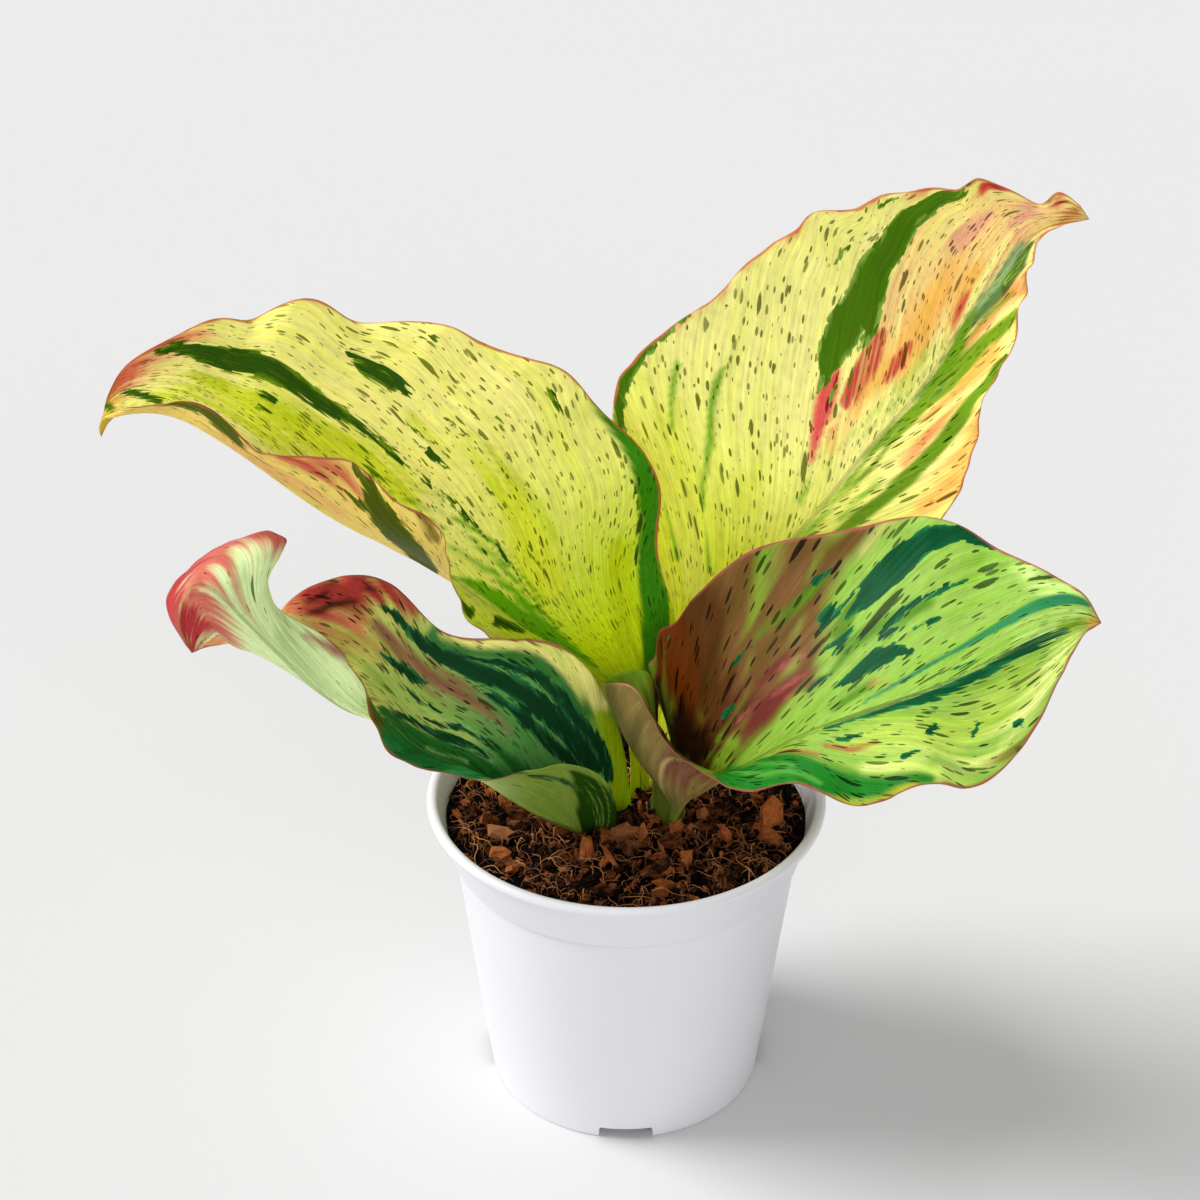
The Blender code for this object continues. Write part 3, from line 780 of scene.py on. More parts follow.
def washed(sheet, vein, ground, washes, seed):
    """Soft colours laid over each other, (colour, softness, stroke, ...): each one's share rises
    from 0 to 1 over its softness round the strokes' outlines, which noise along the veins makes
    uneven. The whole is yellowed a little."""
    color = ground
    streak = grain(vein[..., 0] / 1.7, vein[..., 1] / 26.0, seed)
    patch = grain(vein[..., 0] / 6.0, vein[..., 1] / 24.0, seed + 1)
    for shade, soft, *strokes in washes:
        deep = stroked(sheet, strokes) + soft * (0.95 * streak + 0.45 * patch)
        share = eased(deep, -soft, soft)[..., None]
        color = color * (1.0 - share) + linear(*shade) * share
    return color * (1.0, 1.0, 0.86)


def leaf_pattern():
    """Shared by every leaf: washes banded and broken up along the veins, sharp ragged marks and
    stains, short dashes between the veins in three sizes, pale vein lines, and the thin margin."""
    group, given = new_group(
        "leaf_pattern", Wash="Color", Mark="Float", Stain="Float", Edge="Float", Vein="Vector",
        Green="Color", Light_Green="Color", Stain_Color="Color", Margin="Color",
        Dash_Share="Float", Dash_Length="Float", Band_Color="Color", Band_Share="Float")
    vein = given["Vein"]

    def fine(across, along, detail=3.0, roughness=0.6):
        """Noise drawn out along the veins: its changes in a millimetre across and along them."""
        return noise(vein * (across, along, 0.0), 1.0, detail, roughness)

    streak = fine(1.1, 0.035, 4.0)
    hair = fine(2.3, 0.05)
    broad = fine(0.24, 0.022, 2.0, 0.55)
    mottle = fine(0.7, 0.32)
    crowd = fine(0.12, 0.06, 2.0, 0.55)
    ridge = fine(1.1, 0.012)
    tiles = node("TexVoronoi", {"Vector": vein * (0.85, 0.24, 0.0), "Scale": 1.0},
                 voronoi_dimensions="2D", distance="CHEBYCHEV")
    tile = node("SeparateColor", {0: tiles["Color"]})
    jitter = (streak - 0.5) * 2.6 + (hair - 0.5) * 1.2 + (tile[0] - 0.5) * 1.2

    # Dashes: each cell of three patterns, drawn out along the veins, may hold one ragged mark.
    stretch = node("CombineXYZ", {0: 1.0, 1: given["Dash Length"], 2: 0.0})
    lengthwise = node("VectorMath", {0: vein, 1: stretch}, operation="DIVIDE")
    dashes = []
    for across, long, offset, share in ((1.2, 4.6, 0.3, 0.85), (1.9, 8.5, 5.1, 0.55),
                                        (2.9, 15.0, 9.4, 0.15)):
        place = lengthwise * (1.0 / across, 1.0 / long, 0.0) + (offset, offset, 0.0)
        cell = node("TexVoronoi", {"Vector": place, "Scale": 1.0, "Randomness": 1.0},
                    voronoi_dimensions="2D")
        own = node("SeparateColor", {0: cell["Color"]})
        size = calc("POWER", own[0], 1.6) * 0.2 + 0.09
        ragged = size - cell["Distance"] + (hair - 0.5) * 0.3 + (mottle - 0.5) * 0.16
        chance = given["Dash Share"] * (crowd * (share * 1.6) + share * 0.2)
        chosen = calc("LESS_THAN", own[1], chance)
        dashes.append(ramp(ragged, 0.0, 0.05) * chosen * (own[2] * 0.25 + 0.75))
    climb = node("SeparateXYZ", {0: vein})
    dash = calc("MAXIMUM", calc("MAXIMUM", *dashes[:2]), dashes[2]) * ramp(climb[1], 36.0, 62.0)

    # Colour: the wash, banded and streaked; then stains and marks where their strokes are deep,
    # the dashes, pale hairs, the paler midrib and the margin.
    band = ramp(streak * 0.9 + broad, 0.88, 1.12) * given["Band Share"]
    color = blend(band, given["Wash"], given["Band Color"], "MULTIPLY")
    shade = streak * 0.9 + hair * 0.6 + mottle * 0.55 + 0.02
    color = blend(1.0, color, shade, "MULTIPLY")
    stained = blend(ramp(mottle, 0.4, 0.62), given["Stain Color"], color, "MULTIPLY")
    stained = blend(0.55, given["Stain Color"], stained)
    stain = ramp(given["Stain"] + jitter, -0.9, 0.9) * ramp(streak, 0.38, 0.6, 0.5, 0.95)
    color = blend(stain, color, stained)
    depth = given["Mark"] + jitter
    green = blend(ramp(depth + tile[1] * 2.4 + mottle * 2.4, 1.4, 3.6),
                  given["Light Green"], given["Green"])
    green = blend(1.0, green, streak * 1.1 + 0.45, "MULTIPLY")
    color = blend(ramp(depth, -0.12, 0.18), color, green)
    dark = blend(1.0, given["Wash"], given["Wash"], "MULTIPLY")
    dark = blend(1.0, dark, (0.12, 0.17, 0.03, 1.0), "MULTIPLY")
    color = blend(dash * ramp(depth, -0.12, 0.18, 0.95, 0.3), color, dark)
    color = blend(ramp(hair, 0.6, 0.8), color, (1.3, 1.3, 1.2, 1.0), "MULTIPLY")
    color = blend(ramp(climb[2], 0.15, 0.7, 0.18, 0.0), color, (0.62, 0.72, 0.2, 1.0))
    rim = ramp(given["Edge"] + (broad - 0.5) * -2.4, 0.2, 0.9, 1.0, 0.0)
    color = blend(rim * 0.85, color, given["Margin"])
    feed(group.nodes.new("NodeGroupOutput"), Color=color, Height=ridge + hair * 0.25,
         Roughness=streak * 0.2 + 0.32)
    return group


LEAF_PATTERN = leaf_pattern()


def leaf_skin(name, green, light_green, stain, margin, dashes, bands):
    """Leaf surface: the pattern's colour on a half-glossy skin, ribbed by its veins. Dashes are
    given by their share and length, bands by their tint and share."""
    made, shader = new_material(name, 0.4, IOR=1.42, Specular_IOR_Level=0.09)
    look = node("Group", {
        "Wash": stored(made, "wash", "Color"), "Mark": stored(made, "mark"),
        "Stain": stored(made, "stain"), "Edge": stored(made, "edge"),
        "Vein": stored(made, "vein", "Vector"), "Green": paint(*green),
        "Light Green": paint(*light_green), "Stain Color": paint(*stain),
        "Margin": paint(*margin), "Dash Share": dashes[0], "Dash Length": dashes[1],
        "Band Color": (*bands[0], 1.0), "Band Share": bands[1]}, node_tree=LEAF_PATTERN)
    feed(shader, Base_Color=look["Color"], Roughness=look["Roughness"],
         Normal=bump(look["Height"], 0.0005, 0.8))
    return made


def looped(upper, under):
    """A row of values over the upper side and back under, for every row, then one for the tip."""
    around = np.concatenate([upper, under[:, ::-1]], axis=1)[:-1]
    return np.concatenate([around.reshape(-1, *around.shape[2:]), upper[-1:, 0]])


def leaf_faces():
    """The loop of points round the blade, row after row, closed by a strip at the foot and a fan
    at the tip; and which faces belong to the underside."""
    columns, rows = 2 * BLADE_COLUMNS, BLADE_ROWS - 1
    skin = grid_faces(rows, columns, closed_columns=True)[:, ::-1]
    under = np.tile(np.arange(columns) >= BLADE_COLUMNS, rows - 1)
    j = np.arange(BLADE_COLUMNS - 1)
    foot = np.column_stack([j + 1, j, columns - 1 - j, columns - 2 - j])
    k = np.arange(columns)
    last = (rows - 1) * columns
    fan = np.column_stack([last + k, last + (k + 1) % columns, np.full(columns, rows * columns)])
    faces = skin.tolist() + foot.tolist() + fan.tolist()
    return faces, np.concatenate([under, np.zeros(len(foot), bool), k >= BLADE_COLUMNS])


def painted(sheet, vein, t, side, seed):
    """Colours, marks and stains of one side, whose ground blends from one colour to another up
    the leaf."""
    near, far, low, high = side["ground"]
    rise = eased(t, low, high)[..., None]
    ground = linear(*near) * (1.0 - rise) + linear(*far) * rise
    return (washed(sheet, vein, ground, side["washes"], seed),
            stroked(sheet, side.get("marks", ())), stroked(sheet, side.get("stains", ())))


def grow_leaf(slot, rows, waves, spread, seed, upper, under):
    """One leaf, stalk and blade, as a closed shell on both sides of its sheet. Its thickness is
    the blade's, plus the rib's over a bell curve at the midrib, plus the stalk's near the foot."""
    t, u = np.meshgrid(np.linspace(0.0, 1.0, BLADE_ROWS), np.linspace(-1.0, 1.0, BLADE_COLUMNS),
                       indexing="ij")
    sheet = ruffled(blade_sheet(rows), u, t, waves, seed)
    out, edge, along = measured(sheet)
    vein = vein_places(u, t, out, along[-1, 0], spread)
    thick = BLADE_THICK + RIB_THICK * np.exp(-(out / RIB_WIDTH) ** 2) * (1.0 - t)
    thick += STALK_THICK * eased(t, 0.22, 0.04) * (1.0 - u ** 2)
    thick *= eased(edge, -0.6, 1.2) * eased(t, 1.0, 0.98)
    half = facing(sheet) * thick[..., None] / 2.0
    faces, below = leaf_faces()
    top, back = (leaf_skin(slot + face, *side["skin"])
                 for face, side in (("_upper", upper), ("_under", under)))
    piece = new_piece(slot + "_blade", looped(sheet + half, sheet - half), faces, top)
    piece.data.materials.append(back)
    piece.data.polygons.foreach_set("material_index", below.astype(np.int32))
    wash, mark, stain = (looped(*pair) for pair in zip(painted(sheet, vein, t, upper, seed + 3),
                                                       painted(sheet, vein, t, under, seed + 5)))
    rim = edge + 3.0 * eased(t, 0.3, 0.12)
    keep(piece, wash=np.column_stack([wash, np.ones(len(wash))]), mark=mark, stain=stain,
         edge=looped(rim, rim), vein=looped(vein, vein))
    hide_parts(slot)


grow_leaf("leaf_back_left", BACK_LEFT, BACK_LEFT_WAVES, (0.35, 0.7), 21, {
    "ground": ((206, 228, 10), (255, 246, 150), 0.24, 0.55),
    "washes": (
        ((224,230,54), 4, (20,84,2, 40,78,4, 30,70,7, 30,62,7, 22,54,5), (55,58,2, 48,50,3, 40,42,5,
         30,34,6)),
        ((194,210,8), 2, (42,72,1.2, 36,67,2.2, 33,60,1.6), (50,80,1, 45,76,2), (60,53,.6,
         52,45,1.2, 46,38,1.2), (75,33,2, 60,26,3, 40,22,3)),
        ((250,206,140), 4, (62,93,2, 70,90,4, 80,86,3, 100,80,1)),
        ((226,112,88), 2.5, (75,94,1, 90,91,3, 100,87,2, 100,80,.4), (100,71,.2, 100,66,-.5)),
        ((232,186,40), 3, (0,99,5, 0,95,3, 15,90,1)),
        ((228,226,110), 1.6, (-5,40,1.5, -20,37.5,3, -40,37,1), (-95,31,2, -60,31,1.2), (10,43,.3,
         11,37,.5), (17,46,.3, 17,38,.5)),
        ((104,170,6), .5, (0,42,.4, 4,38,1.6, 6,33,2.4, 5,27,1.6, 2,22,.6), (11,46,.3, 13,40,.8,
         13,33,.9, 10,27,.5), (17,52,.3, 19,45,.6, 19,38,.6, 15,29,.4), (22,56,.3, 23,49,.7,
         24,42,.5, 21,32,.3), (29,56,.3, 29,50,.4)),
        ((56,130,0), .7, (100,47,.8, 98,43,2.6, 95,39,3.8, 96,35,3.2, 93,30,3.4, 87,26,4.2,
         77,22,4.2, 64,18,3.6, 55,12,3)),
    ),
    "marks": (
        (92,86,.6, 82,83,1.8, 70,80,3, 64,75,3.8, 55,70,3.3, 47,65,2.2, 41,60,1.4, 35,55,.9,
        30,50,.8, 26,45,.7, 20,36,.6, 12,27,.3), (79,65.5,1.2, 72,63.5,2.8, 68,61.5,2.6,
        66,59.5,.8), (75,95.5,.5, 50,94,1.2, 25,92,1.2), (46,90,.6, 30,87.5,1.3, 14,84,1.5),
        (90,50,.5, 87,46.5,1), (88,40,.4, 89,35,.8, 84,30,.4), (46,56,.6, 42,52,.9), (53,58.5,.6,
        50,55,.7), (33,78.5,.6, 31,77.5,.6), (41,71.5,.6, 39,70,.7), (33,71.5,.8, 31,70,.6),
        (62,55.5,.5, 58,53,.6), (70,52,.5, 68,50.5,.7), (90,63,0, 93,60.5,.7), (44,48,.6, 42,46,.6),
        (33,40,.3, 32,36,.7, 30,30,.3), (27,60,.4, 25,55,.6, 24,50,.3), (-95,36,1.4, -80,34.5,2.4,
        -60,35,1.4), (-45,32.5,.9, -25,33,1.8, -10,31,1.2),
    ),
    "skin": ((44, 84, 0), (118, 156, 6), (196, 60, 60), (196, 104, 62), (0.62, 0.85),
             ((0.84, 0.93, 0.36), 0.5)),
}, {
    "ground": ((226, 206, 70), (255, 226, 128), 0.2, 0.5),
    "washes": (
        ((204,88,76), 2.2, (-96,68,1.6, -90,65,3.2, -80,61,2.6, -72,58,1.2)),
        ((252,196,118), 3, (-60,74,3, -40,68,4, -30,60,3)),
        ((206,132,92), 2, (-95,85,1, -95,72,1.2)),
        ((150,132,60), 1.5, (-100,50,1, -85,47,1.4)),
    ),
    "marks": (
        (-98,60,1, -85,57.2,2.4, -70,54.5,4, -50,51.5,5, -30,49,5, -10,46.5,4.2, 5,44.5,2.4),
        (-67,61,.4, -64,58.5,1, -62,56,.5), (-100,84,.8, -95,80,2.2, -85,76.5,2.8, -75,73.5,2.2,
        -60,71.5,.6),
    ),
    "skin": ((82, 96, 8), (124, 134, 26), (190, 80, 70), (160, 88, 56), (0.45, 1.0),
             ((0.90, 0.84, 0.50), 0.5)),
})

# ---------------------------------------------------------------------------------------------
# Right back leaf. The tallest blade, nearly upright, with its face to the front and its tip curled
# over to the right; pale yellow, flushed with salmon and crimson, under broad green stripes.

BACK_RIGHT = (
    (2,12,92, 7,10,92, 11,12,92, 40,40),
    (8,16,111, 12,15,109, 16,14,111, 40,40),
    (7,26,137, 20,22,131, 34,15,126, 25,20),
    (0,32,167, 33,26,151, 56,14,148, 25,20),
    (-4,37,196, 46,28,166, 74,13,166, 25,25),
    (-2,40,218, 59,30,182, 89,12,184, 30,30),
    (13,42,233, 70,32,197, 98,13,205, 30,30),
    (31,42,250, 81,33,211, 100,14,225, 30,30),
    (50,40,268, 90,33,226, 107,16,239, 30,30),
    (70,37,274, 96,31,241, 109,19,253, 30,30),
    (88,33,280, 104,29,255, 111,22,263, 30,30),
    (106,29,279, 112,26,268, 114,24,270, 20,20),
    (126,24,273, 126,24,273, 126,24,273, 0,0),
)
BACK_RIGHT_WAVES = (
    (-1, 0.555, -1.2, -0.5, 0.03), (-1, 0.64, -3.5, -2.0, 0.02), (-1, 0.68, 1.5, 1.5, 0.018),
    (-1, 0.71, -4.0, -2.0, 0.02), (-1, 0.765, 2.7, 2.5, 0.02), (-1, 0.83, -4.5, -2.5, 0.018),
    (-1, 0.885, 4.5, 2.5, 0.02), (-1, 0.935, -3.0, -1.5, 0.016), (-1, 0.98, 6.0, 2.0, 0.022),
    (1, 0.885, -1.7, 0.0, 0.02), (1, 0.79, 2.4, 2.0, 0.018), (1, 0.755, -1.5, -2.0, 0.018),
    (1, 0.72, 1.5, 2.0, 0.02), (1, 0.61, -1.5, -2.0, 0.02), (1, 0.565, 1.8, 2.0, 0.02),
)

grow_leaf("leaf_back_right", BACK_RIGHT, BACK_RIGHT_WAVES, (0.44, 0.19), 41, {
    "ground": ((234, 246, 56), (255, 248, 160), 0.24, 0.52),
    "washes": (
        ((234,240,92), 5, (-75,40,3, -60,34,5, -40,24,6), (-30,42,2, -30,34,4)),
        ((255,214,146), 5, (-30,98,5, -45,88,10, -35,78,10, -20,68,8), (-85,90,5, -70,84,6,
         -56,78,6, -42,70,5, -30,63,4)),
        ((252,190,104), 3.5, (-20,80,3, -20,70,5, -17,62,5, -20,55,3, -12,48,1.6), (35,56,2,
         50,62,4, 70,66,3), (100,55,3, 90,49,4, 75,44,3)),
        ((244,156,100), 2.4, (10,68,.6, 30,72,1.4, 60,76,2.2, 100,79,2), (60,60,.8, 45,54,1.8,
         38,49,1.4)),
        ((244,172,146), 3, (-90,93,3, -50,92,3, -10,88,2), (-55,85,1.6, -50,80,1.6), (0,90,1,
         -4,82,1)),
        ((214,70,70), 2, (-100,90.5,1.6, -93,88.5,2.6, -80,87,1), (-100,98,2.4, -80,96.5,1.2),
         (-10,77,.3, -7,74.5,1.2, -6,72,.3)),
        ((236,92,92), 1, (-36,57,.8, -31,54,3, -25,51,2.8, -20,48,1.6, -15,45,.5), (-21,53,.4,
         -17,49,1, -12,45,.4)),
        ((238,150,112), 2, (-100,80,.3, -100,72,.6, -100,62,.2, -100,50,.2)),
        ((140,192,40), 1.6, (2,62,.8, 4,50,.9, 5,40,1.4, 5,30,3), (25,46,1, 20,40,1.6), (-8,68,.5,
         -10,55,.5, -10,40,.4)),
        ((128,180,40), .8, (-72,50.5,.3, -68,47.5,.9, -62,44,.8, -54,40,1.4, -50,36,1.1, -46,32,.3),
         (-85,46.5,.3, -78,43,.6, -71,39,.8), (-70,31,.4, -56,26,1.2), (-40,30,.4, -30,26.5,.9)),
        ((128,164,36), .6, (95,72,1.2, 70,70.5,1.7, 50,69,1.9, 35,66.5,2.4, 23,63,3.6, 16,60,2.6,
         13,55,1.3, 12,48,.8, 8,42,.4), (10,68,.2, 35,73.5,.5, 70,77,.4)),
        ((108,150,30), .6, (100,63,3, 90,60,2.8, 78,57,2.4, 65,53.5,2.2, 52,49,2.4, 42,45,2.3,
         32,40,2.3, 22,35,1.4)),
        ((94,128,74), .6, (70,88,.8, 50,84,2.6, 36,81,2.8, 22,78,2.4, 10,73,1.7, 5,67,1, 3,60,.6,
         3,50,.4)),
        ((150,180,130), 1.2, (12,88,1.5, 16,82,2.2, 10,76,1.2)),
        ((70,70,20), 1, (70,87,.6, 52,84,1.6, 42,79,1.2)),
        ((200,120,50), 2, (-60,98.5,1.5, 0,96,1.5)),
        ((120,34,30), .8, (-100,90,.5, -99,87.5,1.2, -97,86,.6), (-100,97,.4, -95,95.5,.9)),
        ((112,158,30), .7, (10,76,.6, 10,70,1.8, 7,60,1.2, 4,52,1.2, 2,45,.6), (-4,70,.3, -5,60,.5,
         -6,50,.3)),
    ),
    "marks": (
        (-100,85.5,.8, -93,83,1.7, -85,80,2.6, -73,75,3.7, -62,70,4.5, -50,65,5.6, -45,60,5.4,
        -41,57.5,3.8, -38,55.5,1.8, -33,52,.5), (-40,65,.6, -36,62,1.6, -34,60,.6), (10,68,0,
        35,73.5,.2, 70,77,.2), (75,87,.3, 55,84.5,.8, 40,80,.9), (26,64,.5, 22,62,1.4, 18,60,.4),
        (95,65,.8, 88,62,.6), (-100,52,1, -100,46,2.4, -98,41,2.4, -96,34,1.6), (-93,74,.3,
        -95,77,.5), (-74,67.5,.4, -72,65,.3), (-30,55,.3, -27,51,.4),
    ),
    "stains": (
        (-31,63.5,.9, -28,60.5,3, -25,57,2.9, -22,54,1.8), (-18,65,.6, -16.5,62,2, -15,59.5,1),
    ),
    "skin": ((72, 118, 2), (142, 178, 70), (204, 36, 60), (206, 106, 70), (0.62, 1.0),
             ((0.86, 0.95, 0.44), 0.4)),
}, {
    "ground": ((176, 198, 70), (240, 224, 140), 0.2, 0.5),
    "washes": (
        ((240,160,76), 4, (0,99,5, -40,95,5)),
        ((238,176,120), 6, (-30,90,8, 20,70,8)),
    ),
    "marks": (
        (-93,83,.6, -73,75,3.2, -50,65,5, -41,57.5,3), (60,86,1.2, 20,78,1.6, 3,60,.4), (100,62,1.6,
        60,52,1.6, 30,40,1), (-100,48,1, -98,40,2),
    ),
    "skin": ((104, 130, 50), (148, 168, 76), (196, 96, 90), (170, 92, 56), (0.45, 1.1),
             ((0.88, 0.86, 0.50), 0.5)),
})

# ---------------------------------------------------------------------------------------------
# Left front leaf. A lower, darker blade that twists as it reaches left: near the stem its green and
# rosy upper side shows, and past the twist its pale underside, with a crimson tip.

FRONT_LEFT = (
    (-5,-13,92, -11,-9,92, 2,-5,92, 30,30),
    (-3,-17,104, -14,-13,95, 1,-4,103, 20,30),
    (-8,-27,124, -17,-18,100, -1,-3,118, -30,30),
    (-23,-37,134, -25,-24,108, -6,-3,135, -30,30),
    (-38,-44,134, -34,-31,120, -19,-7,155, -40,40),
    (-53,-50,141, -45,-36,132, -38,-14,162, -40,50),
    (-65,-53,149, -57,-41,142, -53,-16,166, -30,60),
    (-70,-54,165, -66,-46,154, -65,-16,180, 0,75),
    (-77,-52,182, -76,-52,163, -80,-18,184, 30,90),
    (-91,-49,191, -87,-57,177, -95,-24,179, 40,90),
    (-95,-45,201, -99,-58,192, -100,-34,173, 40,80),
    (-91,-39,208, -109,-56,202, -105,-42,176, 40,60),
    (-108,-35,204, -116,-52,198, -109,-45,179, 40,40),
    (-123,-39,190, -119,-50,188, -114,-47,179, 20,20),
    (-117,-48,178, -117,-48,178, -117,-48,178, 0,0),
)
FRONT_LEFT_WAVES = (
    (-1, 0.45, 1.0, 1.5, 0.02), (-1, 0.37, -1.0, -1.5, 0.02), (1, 0.56, 0.5, 1.5, 0.03),
)

grow_leaf("leaf_front_left", FRONT_LEFT, FRONT_LEFT_WAVES, (0.3, 0.55), 61, {
    "ground": ((96, 160, 86), (214, 216, 118), 0.3, 0.54),
    "washes": (
        ((176,200,104), 3, (35,50,3, 40,45,3, 35,40,2.4, 25,35,1.6)),
        ((196,172,90), 3, (57,58,3, 60,53,3, 57,49,1.6)),
        ((212,118,90), 3, (95,63,2, 82,61,3, 72,57.5,2.6, 70,53,1.6)),
        ((178,56,56), 3, (100,62,1.5, 90,59,5, 92,55,6, 95,51,5, 95,47,2.4)),
        ((84,32,16), .8, (76,60,.2, 80,57,.9, 83,54,.3), (86,60,.2, 90,58,.5), (90,54,.2,
         93,52,.5)),
        ((146,98,76), 2.2, (72,50,1.2, 70,47,2.4, 65,43,3.6, 57,38.5,3.6, 45,34,2.6, 35,30,1.2)),
        ((60,124,56), 1.6, (92,43,3, 90,37,2.2, 87,32,2.4, 84,27,2.4, 80,22,2.2)),
        ((255,244,150), 1.4, (100,42,1, 100,38,2.6, 100,33,3.2, 96,29,3.2, 94,25,3.4, 95,21,3.2)),
        ((158,184,8), 2.5, (92,20,3.5, 90,15,5, 88,8,6, 95,2,8)),
        ((28,112,52), 2, (-10,50,3, -10,42,5, 0,35,4), (-70,50,5, -60,42,8, -50,33,8, -50,20,8)),
        ((56,156,92), 2, (-90,34,3, -60,33,4, -30,34,3)),
        ((92,88,20), 2.5, (-100,50,3, -80,48,3)),
        ((132,200,96), 1.2, (-100,30,.6, -60,30.5,.5)),
        ((36,110,44), .8, (10,50,2, 10,42,3, 6,34,3), (30,35,.4, 22,30,1.2, 18,26,1.6)),
        ((140,190,120), .4, (30,50,.2, 24,44,.5, 18,38,.5, 14,32,.2), (40,42,.2, 32,36,.5,
         26,32,.3), (48,38,.2, 40,33,.4, 33,29,.3), (5,42,.2, 5,36,.3)),
    ),
    "marks": (
        (83,52,.4, 85,47,1.2, 84,43,2, 80,39,3, 72,35,3.2, 64,31,3, 60,27,3.4, 60,22,3.2, 62,16,3),
        (62,36,.4, 55,33,1.3, 49,29,2.1, 45,25,2.2, 48,20,2.4, 52,14,2), (86,38,.6, 80,33,1.2,
        76,29,1.8, 73,24,2.3, 73,19,2.4, 72,12,2), (55,50,.4, 56,47,1.4, 58,44,1.8, 58,42,.6),
        (48,50,.3, 46,45,.6, 40,40,.4), (14,50,.6, 22,44,1.2, 20,38,1.4, 16,33,1), (30,42,.3,
        30,37,.8, 24,32,.6), (-90,60,.5, -100,59,.6), (-80,75,3, -80,68,3, -90,64,1),
    ),
    "skin": ((10, 60, 26), (50, 122, 70), (150, 44, 58), (158, 74, 66), (0.7, 1.2),
             ((0.66, 0.82, 0.52), 0.8)),
}, {
    "ground": ((126, 150, 62), (220, 240, 184), 0.22, 0.46),
    "washes": (
        ((184,208,146), 2, (-10,55,.6, -25,62,1.2, -45,66.5,1.6), (-75,66,1, -60,60,.6)),
        ((204,104,94), 5, (-100,76,3, -100,80,5.5, -85,84,8, -60,85,10, -20,85.5,10, 10,84,9,
         30,80,7, 48,75,4)),
        ((242,164,136), 3, (-20,87,1, 10,86.5,2.4, 35,84,2)),
        ((174,84,76), 2.5, (-100,76,1, -100,79,2.6, -98,83,4)),
        ((184,52,58), 4, (-100,84,2, -90,90,6, -50,94,9, 0,93,9, 30,90,7, 45,86,3), (-80,99,6,
         30,98,5)),
        ((222,150,100), 1.6, (95,93,1, 88,87,2.2, 82,82,1.8, 62,76,1.2, 40,72,.8)),
        ((150,104,84), 2, (-80,62,1, -90,58,2.2, -100,55,.6)),
        ((34,70,14), .8, (-86,18,.6, -72,15.5,3.5, -60,10,6, -50,3,6)),
        ((120,156,60), .3, (-72,17,.1, -60,12,.3, -50,4,.3), (-60,16,.2, -50,12,.3, -42,4,.2),
         (-80,16,.1, -68,10,.2, -55,4,.2), (-90,14,.1, -82,9,.2, -70,4,.2)),
    ),
    "marks": (
        (-100,25,.4, -80,23.5,1, -66,20,1.2, -58,16,.6), (-100,12,.2, -97,9,.6),
    ),
    "skin": ((30, 72, 34), (84, 124, 62), (150, 44, 58), (150, 70, 60), (0.15, 1.0),
             ((0.80, 0.90, 0.74), 0.6)),
})

# ---------------------------------------------------------------------------------------------
# Right front leaf. A broad blade rolled into a funnel at its foot and opening to the right: olive
# brown and rose inside the funnel, then bright green with teal marks out to the tip.

FRONT_RIGHT = (
    (18,-2,92, 14,-9,92, 7,-4,92, 60,60),
    (15,1,109, 14,-12,98, 9,-1,133, 20,40),
    (12,3,122, 15,-14,102, 2,3,141, 20,40),
    (9,5,131, 16,-16,106, -7,-9,144, 20,40),
    (7,6,138, 18,-19,111, 1,-19,149, 20,20),
    (12,7,151, 20,-23,115, 8,-26,141, 25,-20),
    (21,7,165, 25,-29,123, 17,-36,134, 30,-40),
    (35,6,179, 34,-35,133, 32,-47,132, 35,-60),
    (51,4,185, 47,-41,146, 46,-58,142, 40,-40),
    (68,0,191, 60,-45,155, 62,-65,140, 40,-20),
    (84,-7,197, 73,-47,162, 79,-68,149, 40,10),
    (100,-16,193, 86,-48,169, 95,-66,148, 40,20),
    (113,-28,192, 102,-46,177, 111,-57,165, 30,20),
    (123,-37,188, 117,-43,182, 119,-48,179, 20,20),
    (127,-41,183, 127,-41,183, 127,-41,183, 0,0),
)
FRONT_RIGHT_WAVES = (
    (-1, 0.26, 2.5, -1.0, 0.014), (-1, 0.30, 1.0, 2.0, 0.012), (-1, 0.345, 3.0, 1.0, 0.02),
    (-1, 0.755, 1.0, 1.0, 0.03), (-1, 0.92, 0.6, 0.5, 0.03), (1, 0.875, -1.0, -0.8, 0.02),
)

